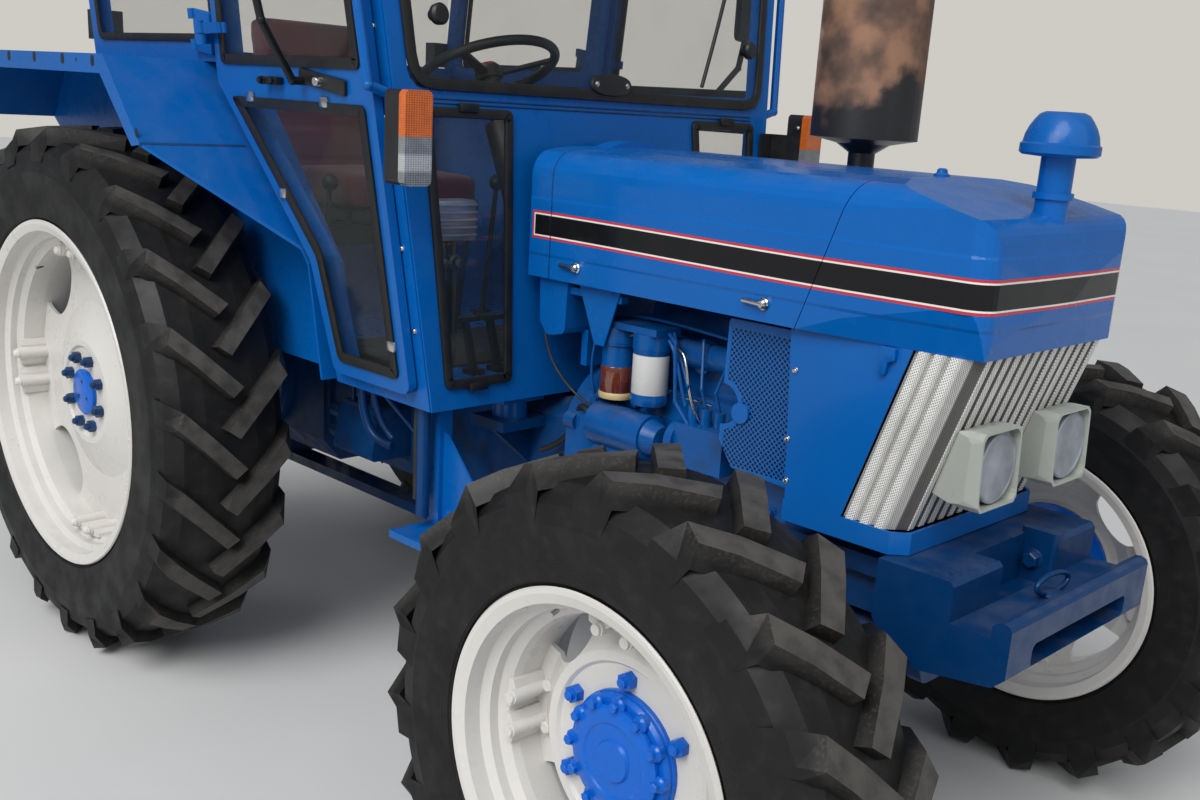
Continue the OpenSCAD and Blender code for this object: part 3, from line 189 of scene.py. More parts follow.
def newest(name: str) -> Piece:
    """Names the primitive that was just added and returns it.

    Args:
        name: Name of the piece.

    Returns:
        The named piece.
    """
    piece = bpy.context.view_layer.objects.active
    piece.name = name
    piece.data.name = name
    return piece


def settle(piece: Piece) -> Piece:
    """Puts a piece's place, turn and scale into its mesh.

    Args:
        piece: The piece.

    Returns:
        The same piece.
    """
    select_only(piece)
    bpy.ops.object.transform_apply(location=True, rotation=True, scale=True)
    return piece


def outward(piece: Piece) -> Piece:
    """Merges doubled points and turns all faces outwards.

    Args:
        piece: The piece.

    Returns:
        The same piece.
    """
    with editing(piece):
        bpy.ops.mesh.select_all(action="SELECT")
        bpy.ops.mesh.remove_doubles(threshold=0.00002)
        bpy.ops.mesh.normals_make_consistent(inside=False)
    return piece


def pick_faces(piece: Piece, wanted: Callable[[bpy.types.MeshPolygon], bool]) -> None:
    """Selects the faces that a test wants, in object mode.

    Args:
        piece: The piece.
        wanted: True for each face to select.
    """
    select_only(piece)
    mesh = piece.data
    for group in (mesh.vertices, mesh.edges, mesh.polygons):
        group.foreach_set("select", [False] * len(group))
    for face in mesh.polygons:
        face.select = wanted(face)
    mesh.update()


def rounded(piece: Piece, width: float, segments: int = 2, angle: float = 40.0) -> Piece:
    """Rounds the sharp edges of a piece and shades it smoothly.

    Args:
        piece: The piece to finish.
        width: Width of the rounding in metres.
        segments: Number of steps across the rounding.
        angle: Edges sharper than this many degrees are rounded.

    Returns:
        The same piece.
    """
    select_only(piece)
    modifier = piece.modifiers.new("edge", "BEVEL")
    modifier.width = width
    modifier.segments = segments
    modifier.limit_method = "ANGLE"
    modifier.angle_limit = math.radians(angle)
    bpy.ops.object.modifier_apply(modifier=modifier.name)
    return shaded(piece)


def shaded(piece: Piece, angle: float = 35.0) -> Piece:
    """Shades a piece smoothly apart from its sharp edges.

    Args:
        piece: The piece.
        angle: Edges sharper than this many degrees stay sharp.

    Returns:
        The same piece.
    """
    select_only(piece)
    bpy.ops.object.shade_smooth_by_angle(angle=math.radians(angle))
    return piece


def joined(name: str, pieces: Sequence[Piece]) -> Piece:
    """Joins pieces into one object with the given name.

    Args:
        name: Name of the result.
        pieces: Pieces to join; the first gives the object.

    Returns:
        The one piece.
    """
    clear_selection()
    for piece in pieces:
        piece.select_set(True)
    bpy.context.view_layer.objects.active = pieces[0]
    if len(pieces) > 1:
        bpy.ops.object.join()
    return newest(name)


def standing(point: Vector, direction: Vector, turn: float = 0.0) -> Matrix:
    """Matrix that stands a form at a point, with its +Z along a direction, turned in degrees."""
    turned = Vector((0, 0, 1)).rotation_difference(direction.normalized()).to_matrix().to_4x4()
    return Matrix.Translation(point) @ turned @ Matrix.Rotation(math.radians(turn), 4, "Z")


def placed(piece: Piece, matrix: Matrix) -> Piece:
    """Moves a piece by a matrix and settles it."""
    piece.matrix_world = matrix @ piece.matrix_world
    return settle(piece)


def all_standing(points: Iterable[Vector], direction: Vector) -> list[Matrix]:
    """Matrices that stand a form at each point, all in the same direction."""
    return [standing(point, direction) for point in points]


def repeated(name: str, model: Piece, places: Sequence[Matrix]) -> Piece:
    """Copies a small model to many places, each copy with its own mesh, as one piece.

    Args:
        name: Name of the resulting piece.
        model: The form drawn about the origin; it is removed afterwards.
        places: One matrix a copy.

    Returns:
        One piece that holds all the copies.
    """
    copies = []
    for matrix in places:
        copy = model.copy()
        copy.data = model.data.copy()
        bpy.context.collection.objects.link(copy)
        copy.data.transform(matrix)
        copies.append(copy)
    bpy.data.objects.remove(model)
    return joined(name, copies)


def turned_form(name: str, profile: Sequence[tuple[float, float]], steps: int = 32) -> Piece:
    """A form turned about Z, built ring by ring from a circle.

    Args:
        name: Name of the form.
        profile: Radius and height of each ring in metres, in order along the form.
        steps: Number of corners round it.

    Returns:
        A closed form about the origin.
    """
    clear_selection()
    radius, height = profile[0]
    bpy.ops.mesh.primitive_circle_add(vertices=steps, radius=radius, fill_type="NGON",
                                      location=(0, 0, height))
    piece = settle(newest(name))
    with editing(piece):
        bpy.ops.mesh.select_all(action="SELECT")
        for next_radius, next_height in profile[1:]:
            bpy.ops.mesh.extrude_region_move(
                TRANSFORM_OT_translate={"value": (0, 0, next_height - height)})
            ratio = next_radius / radius
            bpy.ops.transform.resize(value=(ratio, ratio, 1), center_override=(0, 0, next_height))
            radius, height = next_radius, next_height
    return shaded(outward(piece))


def stood_form(name: str, profile: Sequence[tuple[float, float]], point: Vector, direction: Vector,
               steps: int = 32) -> Piece:
    """A turned form of steps corners that stands at a point and points in a direction."""
    return placed(turned_form(name, profile, steps), standing(point, direction))


def block_form(name: str, low: Vector, high: Vector, round_by: float, segments: int = 2) -> Piece:
    """A box between two corners with rounded edges.

    Args:
        name: Name of the form.
        low: Lowest corner.
        high: Highest corner.
        round_by: Rounding of the edges in metres.
        segments: Steps across the rounding.

    Returns:
        The finished form.
    """
    clear_selection()
    bpy.ops.mesh.primitive_cube_add(size=1, location=(low + high) / 2, scale=high - low)
    piece = settle(newest(name))
    return rounded(piece, round_by, segments)


def corners_softened(points: Sequence[Vector], radius: float, steps: int = 4) -> Outline:
    """Rounds the corners of a flat outline in space.

    Args:
        points: Corners of the outline in order.
        radius: How far from each corner its rounding starts, in metres.
        steps: Number of segments in each corner.

    Returns:
        The finer outline.
    """
    out: Outline = []
    count = len(points)
    for i, corner in enumerate(points):
        back = points[i - 1] - corner
        ahead = points[(i + 1) % count] - corner
        start = corner + back.normalized() * min(radius, back.length * 0.45)
        end = corner + ahead.normalized() * min(radius, ahead.length * 0.45)
        for k in range(steps + 1):
            t = k / steps
            out.append(start * (1 - t) ** 2 + corner * 2 * t * (1 - t) + end * t * t)
    return out


def flat_form(name: str, outline: Sequence[Vector]) -> Piece:
    """A flat face with the given outline, made from a circle of as many corners.

    Args:
        name: Name of the piece.
        outline: Corners in order, in metres.

    Returns:
        The flat form.
    """
    clear_selection()
    bpy.ops.mesh.primitive_circle_add(vertices=len(outline), radius=1.0, fill_type="NGON")
    piece = newest(name)
    for vertex, place in zip(piece.data.vertices, outline):
        vertex.co = place
    piece.data.update()
    return piece


def plate_form(name: str, outline: Sequence[Vector], depth: Vector, round_by: float = 0.0) -> Piece:
    """A plate with a flat outline.

    Args:
        name: Name of the form.
        outline: Corners of one face.
        depth: The plate's thickness as a vector from that face.
        round_by: Rounding of its edges in metres, or 0.

    Returns:
        The closed plate.
    """
    piece = flat_form(name, outline)
    with editing(piece):
        bpy.ops.mesh.select_all(action="SELECT")
        bpy.ops.mesh.extrude_region_move(TRANSFORM_OT_translate={"value": depth})
    outward(piece)
    return rounded(piece, round_by) if round_by else shaded(piece)


def frame_form(name: str, outline: Sequence[Vector], width: float, depth: Vector,
               round_by: float = 0.0) -> Piece:
    """A flat frame that runs inside an outline, such as a window's seal.

    Args:
        name: Name of the form.
        outline: Outer corners.
        width: Width of the frame's strip in metres.
        depth: Its thickness as a vector.
        round_by: Rounding of its edges in metres, or 0.

    Returns:
        The closed frame.
    """
    piece = flat_form(name, outline)
    with editing(piece):
        bpy.ops.mesh.select_all(action="SELECT")
        bpy.ops.mesh.inset(thickness=width, depth=0.0)
        bpy.ops.mesh.delete(type="FACE")
        bpy.ops.mesh.select_all(action="SELECT")
        bpy.ops.mesh.extrude_region_move(TRANSFORM_OT_translate={"value": depth})
    outward(piece)
    return rounded(piece, round_by, 2, 50) if round_by else shaded(piece)


def hose_form(name: str, points: Sequence[Vector], radius: float, ring: int = 3) -> Piece:
    """A smooth hose, rod or pipe through a list of points.

    Args:
        name: Name of the form.
        points: Places that guide the centre line.
        radius: Radius in metres.
        ring: Fineness round the hose.

    Returns:
        The closed hose as a mesh.
    """
    clear_selection()
    bpy.ops.curve.primitive_nurbs_path_add()
    piece = newest(name)
    curve = piece.data
    curve.splines.clear()
    spline = curve.splines.new("NURBS")
    spline.points.add(len(points) - 1)
    for control, place in zip(spline.points, points):
        control.co = (*place, 1.0)
    spline.order_u = min(4, len(points))
    spline.use_endpoint_u = True
    curve.dimensions = "3D"
    curve.resolution_u = 8
    curve.bevel_depth = radius
    curve.bevel_resolution = ring
    curve.use_fill_caps = True
    select_only(piece)
    bpy.ops.object.convert(target="MESH")
    return shaded(outward(newest(name)), 60)


def hexagon_bolt(name: str, across: float, height: float) -> Piece:
    """A bolt head with a chamfered hexagon, a washer and a shank end.

    Args:
        name: Name of the form.
        across: Radius to the hexagon's corners in metres.
        height: Height of the head in metres.

    Returns:
        The form, standing on the origin along +Z.
    """
    washer = turned_form(f"{name}_washer", [(across * 1.2, -height * 0.3), (across * 1.25, height * 0.1),
                                             (across * 1.1, height * 0.18)], 18)
    clear_selection()
    bpy.ops.mesh.primitive_cylinder_add(vertices=6, radius=across, depth=height,
                                        location=(0, 0, height * 0.6))
    head = settle(newest(f"{name}_head"))
    pick_faces(head, lambda face: face.normal.z > 0.9)
    with editing(head):
        bpy.ops.mesh.inset(thickness=across * 0.16)
        bpy.ops.transform.translate(value=(0, 0, height * 0.12))
        bpy.ops.mesh.inset(thickness=across * 0.3)
        bpy.ops.transform.translate(value=(0, 0, -height * 0.06))
    return joined(name, [washer, shaded(outward(head), 25)])


def dome_bolt(name: str, radius: float, height: float) -> Piece:
    """A round-headed bolt standing on the origin along +Z.

    Args:
        name: Name of the piece.
        radius: Radius of the head in metres.
        height: Height of the head in metres.

    Returns:
        The closed form.
    """
    return turned_form(name, [(radius * 1.15, -height * 0.3), (radius * 1.15, height * 0.12),
                              (radius, height * 0.2), (radius * 0.92, height * 0.62),
                              (radius * 0.66, height * 0.92), (radius * 0.2, height)], 16)


class Finish(Protocol):
    """What each finish offers."""

    def material(self) -> Material:
        """Builds the material."""


class Recipe:
    """A node tree under construction, with short words for the nodes it needs."""

    def __init__(self, name: str) -> None:
        """Starts a material with one Principled shader.

        Args:
            name: Name of the material.
        """
        self.material = bpy.data.materials.new(name)
        self.material.use_nodes = True
        self.tree = self.material.node_tree
        self.shader = self.tree.nodes["Principled BSDF"]
        self.output = self.tree.nodes["Material Output"]
        self.place = self.tree.nodes.new("ShaderNodeTexCoord").outputs["Object"]

    def node(self, kind: str, **settings: object) -> bpy.types.Node:
        """Adds a node and sets its attributes.

        Args:
            kind: Type name of the node.
            settings: Its attributes.

        Returns:
            The new node.
        """
        node = self.tree.nodes.new(kind)
        for key, value in settings.items():
            setattr(node, key, value)
        return node

    def feed(self, socket: Socket, value: object) -> None:
        """Links or sets one input socket.

        Args:
            socket: The input.
            value: A socket to link, or a value to set.
        """
        if isinstance(value, Socket):
            self.tree.links.new(value, socket)
        elif isinstance(value, tuple) and len(value) == 3 and socket.type == "RGBA":
            socket.default_value = (*value, 1.0)
        else:
            socket.default_value = value

    def noise(self, scale: float, detail: float = 3.0, place: Socket | None = None) -> Socket:
        """Even noise from 0 to 1 with the given size of grain.

        Args:
            scale: Grains a metre.
            detail: Finer layers of the noise.
            place: Coordinates; the object's own without it.

        Returns:
            Noise from 0 to 1.
        """
        node = self.node("ShaderNodeTexNoise")
        self.feed(node.inputs["Vector"], place or self.place)
        node.inputs["Scale"].default_value = scale
        node.inputs["Detail"].default_value = detail
        return node.outputs["Fac"]

    def span(self, value: Socket, low: float, high: float, to_low: float = 0.0,
             to_high: float = 1.0) -> Socket:
        """Maps a value from one range to another, held at both ends.

        Args:
            value: The value to map.
            low: Start of its range.
            high: End of its range.
            to_low: Result at the start.
            to_high: Result at the end.

        Returns:
            The mapped value.
        """
        node = self.node("ShaderNodeMapRange", interpolation_type="SMOOTHSTEP")
        self.feed(node.inputs["Value"], value)
        for key, number in (("From Min", low), ("From Max", high), ("To Min", to_low), ("To Max", to_high)):
            node.inputs[key].default_value = number
        return node.outputs["Result"]

    def sum(self, operation: str, a: object, b: object = 0.0, c: object = 0.0) -> Socket:
        """One step of arithmetic on values.

        Args:
            operation: Blender's word for the step.
            a: First value.
            b: Second value.
            c: Third value.

        Returns:
            The result.
        """
        node = self.node("ShaderNodeMath", operation=operation)
        for socket, value in zip(node.inputs, (a, b, c)):
            self.feed(socket, value)
        return node.outputs[0]

    def mixed(self, share: object, a: object, b: object) -> Socket:
        """Blends two colours by a share.

        Args:
            share: Share of the second colour.
            a: First colour.
            b: Second colour.

        Returns:
            The blended colour.
        """
        node = self.node("ShaderNodeMix", data_type="RGBA")
        self.feed(node.inputs[0], share)
        self.feed(node.inputs[6], a)
        self.feed(node.inputs[7], b)
        return node.outputs[2]

    def axes(self, place: Socket | None = None) -> list[Socket]:
        """The x, y and z of a place.

        Args:
            place: Coordinates; the object's own without it.

        Returns:
            Three values.
        """
        node = self.node("ShaderNodeSeparateXYZ")
        self.feed(node.inputs[0], place or self.place)
        return list(node.outputs)

    def moved(self, centre: Vector, scale: Colour = (1.0, 1.0, 1.0)) -> Socket:
        """Object coordinates counted from a centre and stretched by a scale.

        Args:
            centre: The new origin in metres.
            scale: Stretch along each axis.

        Returns:
            The moved coordinates.
        """
        node = self.node("ShaderNodeVectorMath", operation="SUBTRACT")
        self.feed(node.inputs[0], self.place)
        node.inputs[1].default_value = centre
        stretch = self.node("ShaderNodeVectorMath", operation="MULTIPLY")
        self.feed(stretch.inputs[0], node.outputs[0])
        stretch.inputs[1].default_value = scale
        return stretch.outputs[0]

    def length(self, vector: Socket) -> Socket:
        """Length of a vector.

        Args:
            vector: The vector.

        Returns:
            Its length.
        """
        node = self.node("ShaderNodeVectorMath", operation="LENGTH")
        self.feed(node.inputs[0], vector)
        return node.outputs["Value"]

    def outward(self, centre: Vector) -> Socket:
        """How far a surface faces away from an axle along Y, from -1 to 1, in the piece's own turn.

        Args:
            centre: Any point of the axle.

        Returns:
            1 where the surface faces straight away from the axle.
        """
        turn = self.node("ShaderNodeVectorTransform", vector_type="NORMAL", convert_from="WORLD",
                         convert_to="OBJECT")
        self.feed(turn.inputs[0], self.node("ShaderNodeNewGeometry").outputs["Normal"])
        arm = self.node("ShaderNodeVectorMath", operation="NORMALIZE")
        self.feed(arm.inputs[0], self.moved(centre, (1.0, 0.0, 1.0)))
        dot = self.node("ShaderNodeVectorMath", operation="DOT_PRODUCT")
        self.feed(dot.inputs[0], arm.outputs[0])
        self.feed(dot.inputs[1], turn.outputs[0])
        return dot.outputs["Value"]

    def facing(self) -> list[Socket]:
        """The x, y and z of the surface's own direction."""
        return self.axes(self.node("ShaderNodeNewGeometry").outputs["Normal"])

    def holes(self, u: object, v: object, pitch: float, size: float) -> Socket:
        """Staggered round holes on two flat coordinates.

        Args:
            u: First coordinate in metres.
            v: Second coordinate in metres.
            pitch: Distance between neighbouring holes in metres.
            size: Radius of a hole as a share of the pitch.

        Returns:
            1 inside the holes and 0 between them.
        """
        cell = self.node("ShaderNodeTexVoronoi", voronoi_dimensions="2D")
        join = self.node("ShaderNodeCombineXYZ")
        diagonal = 1 / (math.sqrt(2) * pitch)
        self.feed(join.inputs[0], self.sum("MULTIPLY", self.sum("ADD", u, v), diagonal))
        self.feed(join.inputs[1], self.sum("MULTIPLY", self.sum("SUBTRACT", u, v), diagonal))
        self.feed(cell.inputs["Vector"], join.outputs[0])
        cell.inputs["Scale"].default_value = 1.0
        cell.inputs["Randomness"].default_value = 0.0
        return self.span(cell.outputs["Distance"], size - 0.04, size + 0.04, 1.0, 0.0)

    def along(self, origin: Vector, direction: Colour) -> Socket:
        """Distance from an origin along a direction.

        Args:
            origin: Where the distance starts.
            direction: Unit direction.

        Returns:
            Metres along the direction.
        """
        node = self.node("ShaderNodeVectorMath", operation="DOT_PRODUCT")
        self.feed(node.inputs[0], self.moved(origin))
        node.inputs[1].default_value = direction
        return node.outputs["Value"]

    def bump(self, height: object, strength: float, distance: float,
             under: Socket | None = None) -> Socket:
        """Relief from a height value.

        Args:
            height: Height value.
            strength: Share of the relief.
            distance: Depth in metres.
            under: A relief beneath it.

        Returns:
            The relief for a shader.
        """
        node = self.node("ShaderNodeBump")
        self.feed(node.inputs["Height"], height)
        node.inputs["Strength"].default_value = strength
        node.inputs["Distance"].default_value = distance
        if under is not None:
            self.feed(node.inputs["Normal"], under)
        return node.outputs["Normal"]

    def finish(self, colour: object, roughness: object, metallic: float = 0.0,
               relief: Socket | None = None, **extras: object) -> Material:
        """Fills the shader's sockets and returns the material.

        Args:
            colour: Base colour.
            roughness: Roughness from 0 to 1.
            metallic: Share of metal.
            relief: Relief of the surface.
            extras: Further sockets, with _ for each space.

        Returns:
            The material.
        """
        self.feed(self.shader.inputs["Base Color"], colour)
        self.feed(self.shader.inputs["Roughness"], roughness)
        self.shader.inputs["Metallic"].default_value = metallic
        if relief is not None:
            self.feed(self.shader.inputs["Normal"], relief)
        for key, value in extras.items():
            self.feed(self.shader.inputs[key.replace("_", " ")], value)
        return self.material


@dataclass(frozen=True)
class PaintFinish:
    """Brushed or sprayed paint on metal, with dust and chips."""

    name: str
    colour: Colour
    roughness: float = 0.3
    dust: float = 0.25
    chips: float = 0.0
    grime: float = 0.0
    grain: float = 0.04
    shine: float = 0.28
    coat: float = 0.1
    coat_roughness: float = 0.06

    def base(self, recipe: Recipe) -> tuple[Socket, Socket]:
        """Colour and dust share of the paint before any pattern on it.

        Args:
            recipe: The node tree.

        Returns:
            The colour socket and the dust share.
        """
        dark = tuple(c * 0.88 for c in self.colour)
        light = tuple(min(1.0, c * 1.1) for c in self.colour)
        colour = recipe.mixed(recipe.noise(2.6, 4), dark, light)
        if self.grime:
            oily = recipe.span(recipe.noise(9.0, 6), 0.5, 0.72, 0.0, self.grime)
            colour = recipe.mixed(oily, colour, (0.012, 0.013, 0.015))
        if self.chips:
            specks = recipe.span(recipe.noise(70.0, 5), 0.66, 0.70)
            patches = recipe.span(recipe.noise(5.0, 3), 0.52, 0.62, 0.0, self.chips)
            colour = recipe.mixed(recipe.sum("MULTIPLY", specks, patches), colour, (0.07, 0.045, 0.035))
        up = recipe.span(recipe.facing()[2], 0.35, 0.95)
        cloud = recipe.span(recipe.noise(14.0, 6), 0.38, 0.7)
        dusty = recipe.sum("MULTIPLY", recipe.sum("MULTIPLY", up, cloud), self.dust)
        return recipe.mixed(dusty, colour, (0.20, 0.20, 0.20)), dusty

    def relief(self, recipe: Recipe) -> Socket:
        """Orange peel of the paint."""
        return recipe.bump(recipe.noise(240.0, 2), self.grain, 0.0006)

    def worn(self, recipe: Recipe, scale: float) -> Socket:
        """Roughness that changes in patches about the paint's own."""
        return recipe.span(recipe.noise(scale, 5), 0.3, 0.75, self.roughness * 0.75, self.roughness * 1.35)

    def glossed(self, recipe: Recipe, colour: object, dusty: object, rough: object,
                relief: Socket) -> Material:
        """Dulls the paint where dust lies, coats it and closes the recipe.

        Args:
            recipe: The node tree to close.
            colour: Colour with all its patterns.
            dusty: Share of dust.
            rough: Roughness of the clean paint.
            relief: Relief of the surface.

        Returns:
            The material.
        """
        dulled = recipe.sum("ADD", rough, recipe.sum("MULTIPLY", dusty, 0.5))
        return recipe.finish(colour, dulled, relief=relief, Specular_IOR_Level=self.shine,
                             Coat_Weight=self.coat, Coat_Roughness=self.coat_roughness)

    def material(self) -> Material:
        """Builds the material.

        Returns:
            The material.
        """
        recipe = Recipe(self.name)
        colour, dusty = self.base(recipe)
        return self.glossed(recipe, colour, dusty, self.worn(recipe, 22.0), self.relief(recipe))


@dataclass(frozen=True)
class StripedPaint(PaintFinish):
    """Hood paint with a black band between fine red and white lines along both sides."""

    tail: float = 0.0
    seam: float = 0.0
    band_half: float = 0.0315
    band_heights: tuple[float, float] = (1.356, 1.3485)
    edge: float = 0.012
    rings: tuple[tuple[float, Colour], ...] = ((1.0, (0.55, 0.035, 0.05)), (0.83, (0.78, 0.78, 0.74)),
                                               (0.72, (0.006, 0.006, 0.007)))

    def banded(self, recipe: Recipe, colour: object) -> Socket:
        """Lays the red line, the white line and the black band over a colour.

        Args:
            recipe: The node tree.
            colour: Colour of the paint beneath.

        Returns:
            The colour with the band.
        """
        x, _, z = recipe.axes()
        middle = recipe.span(x, self.tail, self.tail + 0.85, *self.band_heights)
        off = recipe.sum("DIVIDE", recipe.sum("ABSOLUTE", recipe.sum("SUBTRACT", z, middle)), self.band_half)
        end = recipe.sum("DIVIDE", recipe.sum("SUBTRACT", self.tail + self.band_half, x), self.band_half)
        ring = recipe.sum("MAXIMUM", off, end)
        for limit, shade in self.rings:
            share = recipe.span(ring, limit - self.edge, limit + self.edge, 1.0, 0.0)
            colour = recipe.mixed(share, colour, shade)
        return colour

    def material(self) -> Material:
        """Builds the material with the band as a pattern on the object's own places.

        Returns:
            The material.
        """
        recipe = Recipe(self.name)
        colour, dusty = self.base(recipe)
        colour = self.banded(recipe, colour)
        x, _, z = recipe.axes()
        crease = recipe.sum("ADD", recipe.span(z, 1.284, 1.292, 0.0, 1.0),
                            recipe.span(z, 1.412, 1.420, 0.0, -1.0))
        from_seam = recipe.sum("ABSOLUTE", recipe.sum("SUBTRACT", x, self.seam))
        groove = recipe.span(from_seam, 0.0008, 0.0022, -1.0, 0.0)
        colour = recipe.mixed(recipe.sum("MULTIPLY", groove, -0.8), colour, (0.004, 0.01, 0.03))
        relief = recipe.bump(recipe.sum("ADD", crease, groove), 0.7, 0.003, self.relief(recipe))
        return self.glossed(recipe, colour, dusty, self.worn(recipe, 18.0), relief)


@dataclass(frozen=True)
class PanelPaint(PaintFinish):
    """Side panel paint, with the guards' field of small holes inside plain borders."""

    guard_rear: float = 0.0
    guard_front: float = 0.0
    guard_y: float = 0.2455
    guard_heights: tuple[float, float] = (0.912, 1.204)
    strip: float = 0.011
    cut_out_z: float = 1.040
    collar: float = 0.0555
    pitch: float = 0.0088
    soft: float = 0.001

    def field_of_holes(self, recipe: Recipe) -> Socket:
        """Share of hole at each place of the guards.

        Args:
            recipe: The node tree.

        Returns:
            1 inside the holes, and 0 between them and on the borders.
        """
        x, y, z = recipe.axes()
        share = recipe.holes(x, z, self.pitch, 0.35)
        bottom, top = self.guard_heights
        cut_out = recipe.length(recipe.moved(Vector((self.guard_rear, 0, self.cut_out_z)), (1.0, 0.0, 1.0)))
        borders = (recipe.span(recipe.sum("ABSOLUTE", y), self.guard_y, self.guard_y + 0.0008, 1.0, 0.0),
                   recipe.span(x, self.guard_front - self.soft, self.guard_front, 1.0, 0.0),
                   recipe.span(z, bottom, bottom + self.soft),
                   recipe.span(x, self.guard_rear + self.strip - self.soft, self.guard_rear + self.strip),
                   recipe.span(z, top - self.soft, top, 1.0, 0.0),
                   recipe.span(cut_out, self.collar - self.soft, self.collar))
        for border in borders:
            share = recipe.sum("MULTIPLY", share, border)
        return share

    def material(self) -> Material:
        """Builds the material with the field of holes.

        Returns:
            The material.
        """
        recipe = Recipe(self.name)
        colour, dusty = self.base(recipe)
        holes = self.field_of_holes(recipe)
        colour = recipe.mixed(holes, colour, (0.003, 0.004, 0.006))
        relief = recipe.bump(recipe.sum("MULTIPLY", holes, -1.0), 0.8, 0.002, self.relief(recipe))
        return self.glossed(recipe, colour, dusty, self.roughness, relief)


@dataclass(frozen=True)
class GrilleFinish:
    """Pressed aluminium with rows of small holes, and painted shade in its valleys."""

    name: str
    foot: Vector
    slant: float = 17.95
    wrap: float = 0.113
    side: float = 0.257
    colour: Colour = (0.88, 0.87, 0.84)

    def material(self) -> Material:
        """Builds the material on the grille's own unfolded surface.

        Returns:
            The material.
        """
        recipe = Recipe(self.name)
        lean = math.radians(self.slant)
        ahead = recipe.along(self.foot, (math.cos(lean), 0.0, -math.sin(lean)))
        upward = recipe.along(self.foot, (math.sin(lean), 0.0, math.cos(lean)))
        across = recipe.sum("ABSOLUTE", recipe.axes()[1])
        dots = recipe.holes(recipe.sum("SUBTRACT", across, ahead), upward, 0.0046, 0.31)
        stain = recipe.span(recipe.noise(8.0, 6), 0.5, 0.8, 0.0, 0.25)
        colour = recipe.mixed(stain, self.colour, tuple(c * 0.5 for c in self.colour))
        dusty = recipe.span(recipe.noise(40.0, 5), 0.35, 0.7, 0.0, 0.25)
        colour = recipe.mixed(dusty, colour, (0.58, 0.55, 0.49))
        colour = recipe.mixed(recipe.sum("MULTIPLY", dots, 0.75), colour, (0.09, 0.09, 0.092))
        # Painted shade: the valleys between the front ribs and the side's flutes are darkened to near black.
        front = recipe.span(across, self.side - 0.014, self.side - 0.008, 1.0, 0.0)
        valley = recipe.span(ahead, self.wrap + 0.0066, self.wrap + 0.0082, 1.0, 0.0)
        flute = recipe.span(across, self.side, self.side + 0.005, 0.45, 0.0)
        valley_shade = recipe.sum("MAXIMUM", recipe.sum("MULTIPLY", front, valley),
                            recipe.sum("MULTIPLY", recipe.sum("SUBTRACT", 1.0, front), flute))
        colour = recipe.mixed(recipe.sum("MULTIPLY", valley_shade, 0.92), colour, (0.035, 0.033, 0.031))
        rough = recipe.span(recipe.noise(30.0, 4), 0.3, 0.7, 0.34, 0.52)
        relief = recipe.bump(recipe.sum("MULTIPLY", dots, -1.0), 0.6, 0.001)
        return recipe.finish(colour, rough, 0.0, relief)


@dataclass(frozen=True)
class TyreFinish:
    """Tyre rubber: dark walls with fine ribs, and a dusty tread."""

    name: str
    centre: Vector
    rim: float
    carcass: float

    def material(self) -> Material:
        """Builds the material about the wheel's own centre.

        Returns:
            The material.
        """
        recipe = Recipe(self.name)
        radius = recipe.length(recipe.moved(self.centre, (1.0, 0.0, 1.0)))
        dark = recipe.mixed(recipe.noise(7.0, 6), (0.0040, 0.0040, 0.0044), (0.0080, 0.0080, 0.0083))
        scuffed = recipe.span(recipe.noise(28.0, 8), 0.48, 0.76, 0.0, 0.45)
        wall = recipe.mixed(scuffed, dark, (0.024, 0.0235, 0.023))
        crown = recipe.span(radius, self.carcass - 0.005, self.carcass + 0.022)
        cloud = recipe.span(recipe.noise(16.0, 8), 0.3, 0.62, 0.35, 1.0)
        colour = recipe.mixed(recipe.sum("MULTIPLY", crown, cloud), wall, (0.028, 0.0255, 0.0225))
        worn = recipe.span(recipe.noise(160.0, 3), 0.55, 0.62, 0.0, 0.35)
        colour = recipe.mixed(recipe.sum("MULTIPLY", worn, crown), colour, (0.070, 0.064, 0.056))
        top = recipe.span(recipe.outward(self.centre), 0.78, 0.95)
        crest = recipe.sum("MULTIPLY", recipe.sum("MULTIPLY", top, recipe.span(radius, self.carcass + 0.004,
                           self.carcass + 0.016)), recipe.span(recipe.noise(24.0, 6), 0.3, 0.65, 0.35, 0.95))
        colour = recipe.mixed(crest, colour, (0.082, 0.077, 0.070))
        ribs = recipe.sum("SINE", recipe.sum("MULTIPLY", radius, 1500.0))
        near_bead = recipe.span(radius, self.rim + 0.035, self.rim + 0.06, 1.0, 0.0)
        relief = recipe.bump(recipe.sum("MULTIPLY", ribs, near_bead), 0.35, 0.0009)
        relief = recipe.bump(recipe.noise(90.0, 6), 0.25, 0.002, relief)
        rough = recipe.span(recipe.noise(12.0, 4), 0.3, 0.7, 0.46, 0.68)
        return recipe.finish(colour, rough, relief=relief, Specular_IOR_Level=0.3)


